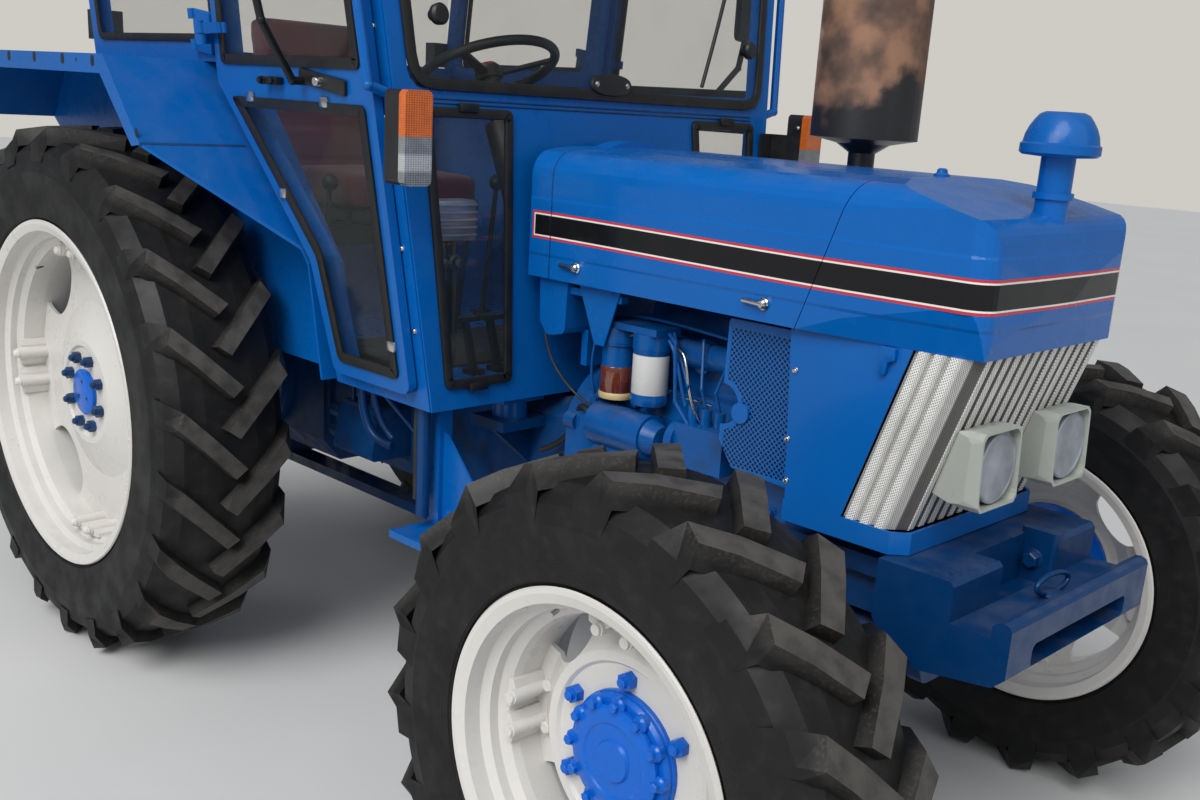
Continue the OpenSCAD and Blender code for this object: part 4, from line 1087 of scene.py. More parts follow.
@dataclass(frozen=True)
class RustFinish:
    """Burnt and rusted sheet steel, black towards its foot."""

    name: str
    black_below: float

    def material(self) -> Material:
        """Builds the material.

        Returns:
            The material.
        """
        recipe = Recipe(self.name)
        z = recipe.axes()[2]
        brown = recipe.mixed(recipe.span(recipe.noise(9.0, 8), 0.38, 0.62), (0.115, 0.070, 0.050),
                             (0.33, 0.175, 0.105))
        pale = recipe.span(recipe.noise(5.0, 6), 0.52, 0.66, 0.0, 0.75)
        brown = recipe.mixed(pale, brown, (0.50, 0.42, 0.35))
        scorched = recipe.span(recipe.noise(4.0, 4, recipe.moved(Vector((3, 1, 2)))), 0.54, 0.66, 0.0, 0.8)
        brown = recipe.mixed(scorched, brown, (0.030, 0.026, 0.025))
        ragged = recipe.sum("ADD", z, recipe.span(recipe.noise(7.0, 6), 0.2, 0.8, -0.13, 0.13))
        foot = recipe.span(ragged, self.black_below - 0.03, self.black_below + 0.05, 1.0, 0.0)
        colour = recipe.mixed(foot, brown, (0.022, 0.022, 0.023))
        rough = recipe.span(foot, 0.0, 1.0, 0.72, 0.34)
        relief = recipe.bump(recipe.noise(60.0, 8), 0.3, 0.0015)
        return recipe.finish(colour, rough, 0.2, relief)


@dataclass(frozen=True)
class GlassFinish:
    """Clear pane or bowl with a film of dust."""

    name: str
    colour: Colour = (0.06, 0.075, 0.075)
    alpha: float = 0.10
    film: float = 0.015

    def material(self) -> Material:
        """Builds the material.

        Returns:
            The material.
        """
        recipe = Recipe(self.name)
        film = recipe.span(recipe.noise(6.0, 6), 0.4, 0.75, 0.0, 1.0)
        colour = recipe.mixed(film, self.colour, tuple(min(1.0, c * 1.25) for c in self.colour))
        alpha = recipe.sum("ADD", recipe.sum("MULTIPLY", film, self.film), self.alpha)
        return recipe.finish(colour, recipe.span(film, 0.0, 1.0, 0.03, 0.12), Alpha=alpha,
                             Specular_IOR_Level=0.9, Coat_Weight=1.0, Coat_Roughness=0.03)


@dataclass(frozen=True)
class LensFinish:
    """Lamp lenses: fluted clear glass inside a limit across, and amber over clear plastic outside it."""

    name: str
    split: float
    outside: float
    flutes: float = 1000.0
    ribs: float = 1400.0

    def material(self) -> Material:
        """Builds the material with the change of colour at one height of the outer lamps.

        Returns:
            The material.
        """
        recipe = Recipe(self.name)
        _, y, z = recipe.axes()
        outer = recipe.span(recipe.sum("ABSOLUTE", y), self.outside - 0.001, self.outside + 0.001)
        upper = recipe.span(z, self.split - 0.0006, self.split + 0.0006)
        amber = recipe.mixed(recipe.noise(38.0, 3), (0.42, 0.070, 0.005), (0.78, 0.175, 0.015))
        clear = recipe.mixed(recipe.noise(30.0, 3), (0.10, 0.105, 0.11), (0.28, 0.29, 0.30))
        ring = recipe.length(recipe.moved(Vector((0, 0, self.split - 0.052)), (0.0, 0.0, 1.0)))
        clear = recipe.mixed(recipe.span(ring, 0.012, 0.022, 0.5, 0.0), clear, (0.62, 0.64, 0.66))
        lamp = recipe.mixed(recipe.noise(16.0, 4), (0.17, 0.17, 0.15), (0.44, 0.435, 0.40))
        upright = recipe.sum("SINE", recipe.sum("MULTIPLY", y, self.flutes))
        # Painted highlights: pale lines along the flutes of the headlamp glass.
        lines = recipe.span(upright, 0.2, 0.9, 0.0, 0.6)
        lamp = recipe.mixed(lines, lamp, (0.58, 0.57, 0.52))
        colour = recipe.mixed(outer, lamp, recipe.mixed(upper, clear, amber))
        level = recipe.sum("SINE", recipe.sum("MULTIPLY", z, self.ribs))
        relief = recipe.bump(recipe.sum("ADD", upright, level), 0.35, 0.0010)
        return recipe.finish(colour, recipe.span(upper, 0.0, 1.0, 0.12, 0.10), relief=relief, Coat_Weight=0.8,
                             Coat_Roughness=0.04, Specular_IOR_Level=0.5)


@dataclass(frozen=True)
class DoorPaint(PaintFinish):
    """Door paint that turns black on the mirror's arm and head."""

    limit_x: float = 0.0

    def material(self) -> Material:
        """Builds the material; black starts a little way out from the leaning side.

        Returns:
            The material.
        """
        recipe = Recipe(self.name)
        colour, dusty = self.base(recipe)
        x, y, z = recipe.axes()
        lean = math.radians(LAYOUT.side_lean)
        off = recipe.sum("SUBTRACT", recipe.sum("ABSOLUTE", y), LAYOUT.cab_foot * MM)
        high = recipe.sum("SUBTRACT", z, LAYOUT.floor_z * MM)
        out = recipe.sum("SUBTRACT", recipe.sum("MULTIPLY", off, math.cos(lean)),
                         recipe.sum("MULTIPLY", high, math.sin(lean)))
        ahead = recipe.span(x, self.limit_x - 0.001, self.limit_x)
        black = recipe.sum("MULTIPLY", recipe.span(out, 0.0285, 0.0295), ahead)
        colour = recipe.mixed(black, colour, (0.010, 0.010, 0.011))
        return self.glossed(recipe, colour, dusty, self.roughness, self.relief(recipe))


@dataclass(frozen=True)
class PlainFinish:
    """Moulded plastic, rubber, cloth or bare metal with a fine grain."""

    name: str
    colour: Colour
    roughness: float
    metallic: float = 0.0
    grain: float = 300.0
    depth: float = 0.15
    patch: float = 0.3

    def material(self) -> Material:
        """Builds the material.

        Returns:
            The material.
        """
        recipe = Recipe(self.name)
        spread = recipe.span(recipe.noise(11.0, 6), 0.3, 0.75, 0.0, 1.0)
        dark = tuple(c * (1 - self.patch) for c in self.colour)
        light = tuple(min(1.0, c * (1 + self.patch)) for c in self.colour)
        colour = recipe.mixed(spread, dark, light)
        rough = recipe.span(recipe.noise(25.0, 4), 0.3, 0.7, self.roughness * 0.8,
                            min(1.0, self.roughness * 1.2))
        relief = recipe.bump(recipe.noise(self.grain, 3), self.depth, 0.0008)
        return recipe.finish(colour, rough, self.metallic, relief)


@dataclass(frozen=True)
class ClothFinish:
    """Woven seat cloth with worn, faded patches."""

    name: str
    colour: Colour
    threads: float = 2600.0

    def material(self) -> Material:
        """Builds the material.

        Returns:
            The material.
        """
        recipe = Recipe(self.name)
        x, y, z = recipe.axes()
        warp = recipe.sum("SINE", recipe.sum("MULTIPLY", recipe.sum("ADD", x, z), self.threads))
        weft = recipe.sum("SINE", recipe.sum("MULTIPLY", y, self.threads))
        weave = recipe.sum("MULTIPLY", warp, weft)
        faded = recipe.span(recipe.noise(7.0, 6), 0.4, 0.72, 0.0, 0.55)
        colour = recipe.mixed(faded, self.colour, tuple(min(1.0, c * 1.9 + 0.01) for c in self.colour))
        colour = recipe.mixed(recipe.span(weave, -0.6, 0.8, 0.0, 0.35), colour,
                              tuple(c * 0.5 for c in self.colour))
        relief = recipe.bump(weave, 0.5, 0.0006)
        return recipe.finish(colour, recipe.span(faded, 0.0, 0.55, 0.78, 0.92), relief=relief,
                             Sheen_Weight=0.25)


BLUE = (0.0008, 0.112, 0.425)
RED_BROWN = (0.105, 0.008, 0.014)


def toned(colour: Colour, share: float) -> Colour:
    """A darker tone of a colour."""
    return tuple(c * share for c in colour)


class Look(Enum):
    """The finishes of the tractor, each by a plain word."""

    HOOD = auto()
    PANELS = auto()
    CAB = auto()
    DOOR = auto()
    WEIGHT = auto()
    ENGINE = auto()
    CASTINGS = auto()
    HUBS = auto()
    NUTS = auto()
    RIMS = auto()
    ROOF = auto()
    GRILLE = auto()
    BEZELS = auto()
    BLACK_METAL = auto()
    RUST = auto()
    WORN_STEEL = auto()
    BRIGHT = auto()
    BRASS = auto()
    PANE = auto()
    LENS = auto()
    PLASTIC = auto()
    SEAL = auto()
    HOSE = auto()
    RED = auto()
    WHITE_CAN = auto()
    BOWL = auto()
    PALE_RING = auto()
    CLOTH = auto()
    MAT = auto()
    FINNED = auto()
    MIRROR = auto()


class Finishes:
    """All finishes of the tractor, each built once when it is first asked for."""

    def __init__(self, layout: Layout) -> None:
        """Lists the finish of each look.

        Args:
            layout: Places on the tractor.
        """
        cab_blue = toned(BLUE, 0.92)
        grille_foot = layout.at(2346 - (1227 - 886) * 0.324, 0, 886)
        self.makers: dict[Look, Finish] = {
            Look.HOOD: StripedPaint("hood_paint", BLUE, 0.24, 0.08, 0.4, coat=0.12, coat_roughness=0.05,
                                    tail=layout.at(1330, 0, 0).x, seam=layout.at(1392, 0, 0).x),
            Look.PANELS: PanelPaint("panel_paint", BLUE, 0.3, 0.1, 0.5, guard_rear=layout.at(1898, 0, 0).x,
                                    guard_front=layout.at(2076, 0, 0).x),
            Look.CAB: PaintFinish("cab_paint", cab_blue, 0.3, 0.12, 0.35),
            Look.DOOR: DoorPaint("door_paint", cab_blue, 0.3, 0.12, 0.35, limit_x=layout.at(665, 0, 0).x),
            # Painted shade: the front weight wears the same blue paint, toned down to 0.29 of it.
            Look.WEIGHT: PaintFinish("weight_paint", toned(BLUE, 0.29), 0.34, 0.14, 0.25, grain=0.12),
            Look.ENGINE: PaintFinish("engine_paint", toned(BLUE, 0.72), 0.3, 0.2, 0.6, 0.4, 0.15),
            # Painted shade: the castings under the tractor wear the same blue paint, toned down to 0.36 of
            # it; the grime patches are real dirt.
            Look.CASTINGS: PaintFinish("shaded_casting_paint", toned(BLUE, 0.36), 0.42, 0.3, 0.5, 0.6, 0.3),
            Look.HUBS: PaintFinish("hub_paint", (0.001, 0.115, 0.55), 0.26, 0.05, 0.2, grain=0.08),
            Look.NUTS: PaintFinish("nut_paint", (0.010, 0.042, 0.125), 0.35, 0.1, 0.5, 0.3),
            Look.RIMS: PaintFinish("rim_paint", (0.64, 0.62, 0.585), 0.34, 0.12, 0.2, grain=0.06),
            Look.ROOF: PaintFinish("roof_paint", (0.62, 0.60, 0.55), 0.42, 0.35, 0.2),
            Look.GRILLE: GrilleFinish("grille_metal", grille_foot),
            Look.BEZELS: PaintFinish("bezel_paint", (0.40, 0.42, 0.38), 0.36, 0.3, 0.4),
            Look.BLACK_METAL: PlainFinish("black_metal", (0.009, 0.009, 0.010), 0.42, 0.2),
            Look.RUST: RustFinish("burnt_steel", 1.665),
            Look.WORN_STEEL: PlainFinish("worn_steel", (0.075, 0.070, 0.066), 0.45, 0.7, 80.0, 0.3, 0.5),
            Look.BRIGHT: PlainFinish("bright_steel", (0.62, 0.61, 0.60), 0.2, 1.0, 200.0, 0.05, 0.15),
            Look.BRASS: PlainFinish("brass_fittings", (0.38, 0.25, 0.09), 0.35, 0.9, 200.0, 0.1, 0.25),
            Look.PANE: GlassFinish("window_glass"),
            Look.LENS: LensFinish("lamp_lenses", 1.544, 0.5),
            Look.PLASTIC: PlainFinish("black_plastic", (0.011, 0.011, 0.012), 0.45),
            Look.SEAL: PlainFinish("seal_rubber", (0.0065, 0.0065, 0.007), 0.5, 0.0, 220.0, 0.2, 0.2),
            Look.HOSE: PlainFinish("hose_rubber", (0.012, 0.012, 0.013), 0.55, 0.0, 500.0, 0.25, 0.3),
            Look.RED: PlainFinish("red_plastic", (0.35, 0.020, 0.018), 0.4),
            Look.WHITE_CAN: PaintFinish("filter_can", (0.62, 0.62, 0.60), 0.3, 0.1),
            Look.BOWL: GlassFinish("amber_bowl", (0.16, 0.030, 0.006), 0.85, 0.1),
            Look.PALE_RING: PlainFinish("pale_ring", (0.50, 0.40, 0.20), 0.4),
            Look.CLOTH: ClothFinish("seat_cloth", RED_BROWN),
            Look.MAT: PlainFinish("floor_mat", (0.014, 0.014, 0.015), 0.75, 0.0, 120.0, 0.5, 0.3),
            Look.FINNED: PlainFinish("finned_metal", (0.34, 0.37, 0.42), 0.4, 0.5, 60.0, 0.1, 0.3),
            Look.MIRROR: PlainFinish("mirror_glass", (0.75, 0.76, 0.77), 0.04, 1.0, 20.0, 0.0, 0.03),
        }
        self.built: dict[Look, Material] = {}

    def get(self, look: Look) -> Material:
        """Builds a finish on first use and returns its material.

        Args:
            look: The finish to look up.

        Returns:
            Its material.
        """
        if look not in self.built:
            self.built[look] = self.makers[look].material()
        return self.built[look]


FINISHES = Finishes(LAYOUT)


def dress_node(node: str, material: Material) -> None:
    """Gives one carried-over CAD node its material.

    Args:
        node: Name of the CAD node.
        material: Its material.
    """
    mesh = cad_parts[node].data
    mesh.materials.clear()
    mesh.materials.append(material)


def hang(piece: Piece, body: str, look: Look) -> Piece:
    """Gives a new piece its finish and lets it ride on a body.

    Args:
        piece: The finished piece.
        body: CAD body that carries it.
        look: Finish of the piece.

    Returns:
        The same piece.
    """
    piece.data.materials.clear()
    piece.data.materials.append(FINISHES.get(look))
    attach(piece, body)
    LOG.info("%s rides on %s, %d faces", piece.name, body, len(piece.data.polygons))
    return piece


class Assembly:
    """A sub-assembly: nodes to dress and pieces to build."""

    dressing: dict[str, Look] = {}

    def dress(self) -> None:
        """Gives the CAD nodes of this assembly their finishes."""
        for node, look in self.dressing.items():
            dress_node(node, FINISHES.get(look))

    def build(self) -> None:
        """Builds this assembly's own pieces."""

    def make(self) -> None:
        """Dresses the nodes and then builds the pieces."""
        self.dress()
        self.build()
        LOG.info("%s is done", type(self).__name__)


@dataclass
class Wheel(Assembly):
    """What front and rear wheels share: names, places about the axle and finishes."""

    side: Side
    end = ""
    hub_look = Look.HUBS
    rim_r = 0.0
    carcass_r = 0.0

    @property
    def centre(self) -> Vector:
        """Middle of the tyre in the row's frame."""
        low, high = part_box(self.named("tyre"))
        return (low + high) / 2

    @property
    def body(self) -> str:
        """Body that the wheel's pieces ride on."""
        return self.named("wheel")

    def named(self, part: str) -> str:
        """Name of a part of this wheel."""
        return f"{self.end}_{part}_{self.side.word}"

    def around(self, radius: float, degrees: float, y: float) -> Vector:
        """A point on a circle about the axle, y metres outwards of the tyre's middle."""
        a = math.radians(degrees)
        return self.centre + self.side.out(y) + Vector((radius * math.cos(a), 0, radius * math.sin(a)))

    def circle(self, radius: float, angles: Iterable[float], y: float) -> list[Matrix]:
        """Places on a circle about the axle whose forms point outwards."""
        return all_standing((self.around(radius, angle, y) for angle in angles), self.side.out(1))

    def valve(self, angle: float, stations: Pairs, radius: float) -> None:
        """The bright valve stem through radius and depth stations at one angle."""
        stem = hose_form(self.named("valve"), [self.around(r, angle, y) for r, y in stations], radius)
        hang(stem, self.body, Look.BRIGHT)

    def dress(self) -> None:
        """Gives rim, hub and tyre their finishes."""
        dress_node(self.named("rim"), FINISHES.get(Look.RIMS))
        dress_node(self.named("hub"), FINISHES.get(self.hub_look))
        tyre = TyreFinish(self.named("rubber"), self.centre, self.rim_r, self.carcass_r)
        dress_node(self.named("tyre"), tyre.material())


@dataclass
class FrontWheel(Wheel):
    """A steered wheel with its blue planetary hub."""

    end = "front"
    rim_r = 0.330
    carcass_r = 0.510
    cover_r: float = 0.104
    cover_bolts: int = 12
    lobe_r: float = 0.226
    lobe_spread: float = 11.0
    stud_r: float = 0.145
    cover_rings: Pairs = ((0.094, 0.026), (0.101, 0.032), (0.101, 0.040), (0.096, 0.043), (0.070, 0.043),
                          (0.066, 0.040), (0.040, 0.040), (0.036, 0.046), (0.012, 0.046))
    drum_ring: Pairs = ((0.1195, -0.0085), (0.1215, -0.006), (0.1215, 0.004), (0.1195, 0.0065))
    valve_stations: Pairs = ((0.283, 0.02), (0.279, 0.05), (0.272, 0.075))

    def cover(self) -> Piece:
        """The hub's scalloped end cover with its bosses.

        Returns:
            The cover with ears and bolts.
        """
        axis = self.side.out(1)
        disc = stood_form("disc", self.cover_rings, self.centre, axis, 48)
        angles = [k * 360 / self.cover_bolts for k in range(self.cover_bolts)]
        ears = repeated("ears", turned_form("ear", [(0.016, -0.004), (0.016, 0.010), (0.012, 0.014)], 14),
                        self.circle(self.cover_r, angles, 0.027))
        bolts = repeated("bolts", hexagon_bolt("bolt", 0.0095, 0.009),
                         [standing(self.around(self.cover_r, angle, 0.041), axis, 17 * k)
                          for k, angle in enumerate(angles)])
        return joined(self.named("hub_cover"), [disc, ears, bolts])

    def build(self) -> None:
        """Cover, the drum's ridge, the bolts at the disc's lobes, the studs' ends and the valve."""
        hang(self.cover(), self.body, Look.HUBS)
        foot = self.around(0, 0, 0.012)
        ridge = stood_form(self.named("hub_rings"), self.drum_ring, foot, self.side.out(1), 48)
        hang(ridge, self.body, Look.HUBS)
        lobes = [90 * k + d for k in range(4) for d in (-self.lobe_spread, self.lobe_spread)]
        heads = repeated(self.named("lobe_bolts"), hexagon_bolt("bolt", 0.013, 0.011),
                         self.circle(self.lobe_r, lobes, -0.0165))
        hang(heads, self.body, Look.RIMS)
        caps = repeated(self.named("stud_ends"), dome_bolt("cap", 0.0085, 0.010),
                        self.circle(self.stud_r, range(30, 390, 60), 0.026))
        hang(caps, self.body, Look.HUBS)
        self.valve(120, self.valve_stations, 0.0045)


@dataclass
class RearWheel(Wheel):
    """A rear wheel with its dished disc and channel brackets."""

    end = "rear"
    hub_look = Look.NUTS
    rim_r = 0.490
    carcass_r = 0.713
    stud_r: float = 0.1015
    bracket_r: float = 0.404
    bracket_spread: float = 6.2
    cap_rings: Pairs = ((0.066, 0.0675), (0.066, 0.0770), (0.062, 0.0795), (0.006, 0.0795))
    valve_stations: Pairs = ((0.434, 0.03), (0.428, 0.06), (0.42, 0.085))

    def build(self) -> None:
        """Centre cap, stud ends, bracket bolts and valve."""
        cap = stood_form(self.named("cap"), self.cap_rings, self.centre, self.side.out(1), 40)
        marks = repeated(self.named("cap_marks"), turned_form("mark", [(0.0052, 0.0), (0.0052, 0.0012),
                                                                       (0.004, 0.0016)], 12),
                         self.circle(0.030, (90, 210, 330), 0.0790))
        hang(cap, self.body, Look.HUBS)
        hang(marks, self.body, Look.BLACK_METAL)
        ends = repeated(self.named("stud_ends"), dome_bolt("end", 0.0085, 0.006),
                        self.circle(self.stud_r, [22.5 + 45 * k for k in range(8)], 0.091))
        hang(ends, self.body, Look.NUTS)
        spots = [90 * k + s * self.bracket_spread for k in range(4) for s in (-1, 1)]
        heads = repeated(self.named("bracket_bolts"), dome_bolt("head", 0.013, 0.012),
                         self.circle(self.bracket_r, spots, 0.1058))
        hang(heads, self.body, Look.RIMS)
        self.valve(130, self.valve_stations, 0.005)


@dataclass
class Hood(Assembly):
    """Hood, nose, side panels and precleaner."""

    dressing = {"hood": Look.HOOD, "nose": Look.HOOD, "side_panels": Look.PANELS, "precleaner": Look.HOOD,
                "fuel_tank": Look.CAB}
    latch_x: tuple[float, float] = (1485.0, 2020.0)
    latch_z: float = 1272.0
    latch_y: float = 290.3
    panel_y: float = 268.0
    screw_places: Pairs = ((2092, 1010), (2094, 1150), (2099, 925))
    catch_corners: Pairs = ((2284, 1184), (2300, 1180), (2304, 1206), (2318, 1210), (2318, 1234),
                            (2284, 1234))
    dome_rings: Pairs = ((0.032, 1.5870), (0.0665, 1.5895), (0.0722, 1.594), (0.0722, 1.6090),
                         (0.0680, 1.6125), (0.0655, 1.626), (0.0600, 1.640), (0.0520, 1.653), (0.0440, 1.663),
                         (0.0340, 1.6675), (0.008, 1.668))

    def latch(self) -> Piece:
        """One chrome turn-latch, pointing back, about the origin with +Z outwards.

        Returns:
            One latch at the origin.
        """
        boss = turned_form("boss", [(0.0125, -0.001), (0.0125, 0.004), (0.0095, 0.006), (0.0095, 0.011),
                                    (0.0065, 0.014)], 20)
        lever = hose_form("lever", [Vector((0, 0, 0.010)), Vector((-0.016, 0, 0.011)),
                                    Vector((-0.034, 0.001, 0.007)), Vector((-0.050, 0.001, 0.006))], 0.0052)
        return joined("latch", [boss, lever])

    def side_trim(self, side: Side) -> None:
        """Latches, panel screws and the panel's catch on one side.

        Args:
            side: The side.
        """
        turn = Matrix(((1, 0, 0, 0), (0, 0, side.value, 0), (0, 1, 0, 0), (0, 0, 0, 1)))
        places = [Matrix.Translation(LAYOUT.at(x, side.value * self.latch_y, self.latch_z)) @ turn
                  for x in self.latch_x]
        latches = repeated(f"hood_latches_{side.word}", self.latch(), places)
        hang(outward(latches), "tractor", Look.BRIGHT)
        spots = [LAYOUT.at(x, side.value * (self.panel_y + 0.2), z) for x, z in self.screw_places]
        screws = repeated(f"panel_screws_{side.word}", dome_bolt("screw", 0.006, 0.005),
                          all_standing(spots, side.out(1)))
        hang(screws, "tractor", Look.BRIGHT)
        corners = [LAYOUT.at(x, side.value * self.panel_y, z) for x, z in self.catch_corners]
        tab = plate_form(f"panel_catch_{side.word}", corners_softened(corners, 0.004), side.out(0.012), 0.002)
        hang(tab, "tractor", Look.CAB)

    def build(self) -> None:
        """Trim of both sides, the precleaner's dome and the cap on the hood."""
        for side in Side:
            self.side_trim(side)
        dome = stood_form("precleaner_dome", self.dome_rings, LAYOUT.at(2440, 0, 0), UP, 56)
        hang(dome, "tractor", Look.CAB)
        cap = stood_form("hood_cap", [(0.016, -0.002), (0.016, 0.003), (0.011, 0.006), (0.010, 0.012),
                                      (0.006, 0.015)], LAYOUT.at(2205, 0, 1535), UP, 24)
        hang(cap, "tractor", Look.CAB)


@dataclass
class FrontEnd(Assembly):
    """Grille, headlamps, front weight and the front axle's castings."""

    dressing = {"grille": Look.GRILLE, "headlamps": Look.BEZELS, "lenses": Look.LENS,
                "front_weight": Look.WEIGHT, "front_support": Look.CASTINGS, "front_axle": Look.CASTINGS,
                "radiator": Look.BLACK_METAL, "knuckle_left": Look.CASTINGS, "knuckle_right": Look.CASTINGS,
                "tie_rod": Look.WORN_STEEL}
    lamp_face: tuple[float, float, float] = (2476.0, 147.0, 1026.0)
    pin_x: float = 2560.0
    trough_z: float = 762.0
    lug_face: tuple[float, float, float] = (2470.0, 97.5, 790.0)
    lamp_ring: Pairs = ((0.0635, -0.001), (0.0685, -0.001), (0.0685, 0.007), (0.066, 0.009), (0.0625, 0.0065))
    pin_rings: Pairs = ((0.0145, -0.098), (0.0152, -0.094), (0.0152, 0.0005), (0.024, 0.001), (0.026, 0.004),
                        (0.024, 0.010), (0.012, 0.014))

    def tow_pin(self) -> None:
        """The pin through the weight with its ring handle."""
        pin = stood_form("pin", self.pin_rings, LAYOUT.at(self.pin_x, 0, self.trough_z), UP, 28)
        turns = [k * math.tau / 20 for k in range(21)]
        loop = [LAYOUT.at(self.pin_x + 6 * math.cos(t), 56 * math.cos(t) * 0.98, 789 + 20 * math.sin(t))
                for t in turns]
        handle = hose_form("handle", loop, 0.0055)
        neck = hose_form("neck", [LAYOUT.at(self.pin_x, 0, 772), LAYOUT.at(self.pin_x, 0, 769)], 0.010)
        hang(joined("tow_pin", [pin, handle, neck]), "tractor", Look.WEIGHT)

    def build(self) -> None:
        """Lamp rings, tow pin and the bolt in the weight's lug."""
        x, y, z = self.lamp_face
        for side in Side:
            spot = LAYOUT.at(x, side.value * y, z)
            ring = stood_form(f"lamp_ring_{side.word}", self.lamp_ring, spot, AHEAD, 48)
            hang(ring, "tractor", Look.FINNED)
        self.tow_pin()
        head = repeated("weight_lug_bolt", hexagon_bolt("bolt", 0.017, 0.016),
                        [standing(LAYOUT.at(*self.lug_face), Side.RIGHT.out(1))])
        hang(head, "tractor", Look.WEIGHT)


@dataclass(frozen=True)
class Run:
    """A hose, pipe or cable: its name, its places in millimetres, its radius in metres and its finish."""

    name: str
    places: tuple[tuple[float, float, float], ...]
    radius: float
    look: Look

    def lay(self) -> None:
        """Builds the run and hangs it on the tractor."""
        route = [LAYOUT.at(*place) for place in self.places]
        hang(hose_form(self.name, route, self.radius), "tractor", self.look)


@dataclass
class EngineBay(Assembly):
    """The open engine's side: block, fittings, filters, exhaust and their pipes."""

    dressing = {"engine": Look.ENGINE, "drive_train": Look.CASTINGS, "engine_fittings": Look.ENGINE,
                "exhaust": Look.RUST, "fuel_filters": Look.ENGINE}
    filter_x: tuple[float, float] = (1556.0, 1660.0)
    filter_y: float = -212.0
    filter_top: float = 1147.0
    block_y: float = -170.5
    bowl_rings: Pairs = ((0.0375, 0.994), (0.0388, 0.996), (0.0388, 1.052), (0.0375, 1.056))
    base_rings: Pairs = ((0.030, 0.978), (0.0395, 0.980), (0.0405, 0.983), (0.0405, 0.992), (0.0385, 0.995))
    can_rings: Pairs = ((0.0405, 1.010), (0.0416, 1.012), (0.0416, 1.098), (0.0405, 1.102))
    foot_rings: Pairs = ((0.034, 0.9835), (0.0405, 0.987), (0.0424, 0.991), (0.0424, 1.001), (0.0412, 1.004),
                         (0.0412, 1.011))
    head_rim: Pairs = ((0.039, 1.104), (0.0425, 1.106), (0.0425, 1.113), (0.039, 1.116))
    head_bolts: Pairs = ((-27, 0), (27, 0), (0, -27), (-19, -19), (19, -19), (0, 0))

    def filter_jackets(self) -> None:
        """An amber bowl on its ring and a white can on its foot, fitted over the filter bodies."""
        first, second = (LAYOUT.at(x, self.filter_y, 0) for x in self.filter_x)
        hang(stood_form("amber_filter_bowl", self.bowl_rings, first, UP, 40), "tractor", Look.BOWL)
        hang(stood_form("filter_bowl_ring", self.base_rings, first, UP, 40), "tractor", Look.PALE_RING)
        hang(stood_form("filter_can", self.can_rings, second, UP, 48), "tractor", Look.WHITE_CAN)
        hang(stood_form("filter_can_foot", self.foot_rings, second, UP, 48), "tractor", Look.ENGINE)
        rims = [stood_form("rim", self.head_rim, where, UP, 40) for where in (first, second)]
        hang(joined("filter_head_rims", rims), "tractor", Look.ENGINE)
        heads = [standing(LAYOUT.at(x + dx, self.filter_y + dy, self.filter_top), UP, 10 * dx)
                 for x in self.filter_x for dx, dy in self.head_bolts]
        bolts = repeated("filter_head_bolts", hexagon_bolt("bolt", 0.0075, 0.011), heads)
        hang(bolts, "tractor", Look.ENGINE)

    def runs(self) -> list[Run]:
        """Fuel lines and cables round the filters.

        Returns:
            The runs in their order.
        """
        y = self.filter_y
        return [
            Run("fuel_line_upper", ((1706, y + 6, 1128), (1742, y + 2, 1130), (1768, y - 4, 1108),
                (1780, y - 6, 1040), (1800, y - 2, 992), (1806, y + 14, 972)), 0.0038, Look.BRIGHT),
            Run("fuel_line_lower", ((1512, y + 2, 1128), (1488, y - 4, 1120), (1476, y - 8, 1060),
                (1470, y + 4, 990), (1480, y + 20, 940)), 0.0038, Look.ENGINE),
            Run("fuel_line_cross", ((1602, y - 10, 1132), (1622, y - 16, 1142), (1640, y - 10, 1134)),
                0.0036, Look.BRASS),
            Run("throttle_rod", ((1704, y + 30, 1006), (1760, y + 26, 1016), (1830, y + 20, 1012)),
                0.003, Look.BRIGHT),
            Run("starter_cable", ((1532, y - 30, 905), (1500, y - 34, 940), (1462, y - 20, 952),
                (1430, y, 900), (1390, y + 10, 830), (1330, y - 20, 800)), 0.007, Look.HOSE),
            Run("bay_cable", ((1610, y - 6, 880), (1680, y + 10, 846), (1750, y + 14, 862),
                (1830, y + 20, 876)), 0.004, Look.HOSE),
            Run("bay_thin_cable", ((1352, -262, 1180), (1362, -270, 1090), (1400, -262, 1010),
                (1470, -246, 962), (1520, -242, 948)), 0.0032, Look.HOSE),
            Run("injector_line", ((1716, y - 8, 1140), (1748, y - 14, 1120), (1756, y - 10, 1060),
                (1774, y - 4, 1004)), 0.0042, Look.ENGINE),
            Run("return_line", ((1556, -176, 1166), (1640, -182, 1176), (1740, -176, 1168),
                (1840, -168, 1160)), 0.004, Look.ENGINE),
        ]

    def build(self) -> None:
        """Filters, pipes, the dark holes of the starter's bracket and the block's bolts."""
        self.filter_jackets()
        for run in self.runs():
            run.lay()
        spots = [LAYOUT.at(x, -182.4, z) for x, z in ((1452, 930), (1492, 946))]
        holes = repeated("bracket_holes", turned_form("hole", [(0.0085, -0.002), (0.0085, 0.0010),
                                                               (0.007, 0.0014)], 16),
                         all_standing(spots, Side.RIGHT.out(1)))
        hang(holes, "tractor", Look.BLACK_METAL)
        heads = [standing(LAYOUT.at(x, self.block_y, z), Side.RIGHT.out(1), x) for x in range(1540, 2030, 92)
                 for z in (712, 690 + (x % 3) * 60)]
        hang(repeated("block_bolts", hexagon_bolt("bolt", 0.009, 0.009), heads), "tractor", Look.ENGINE)


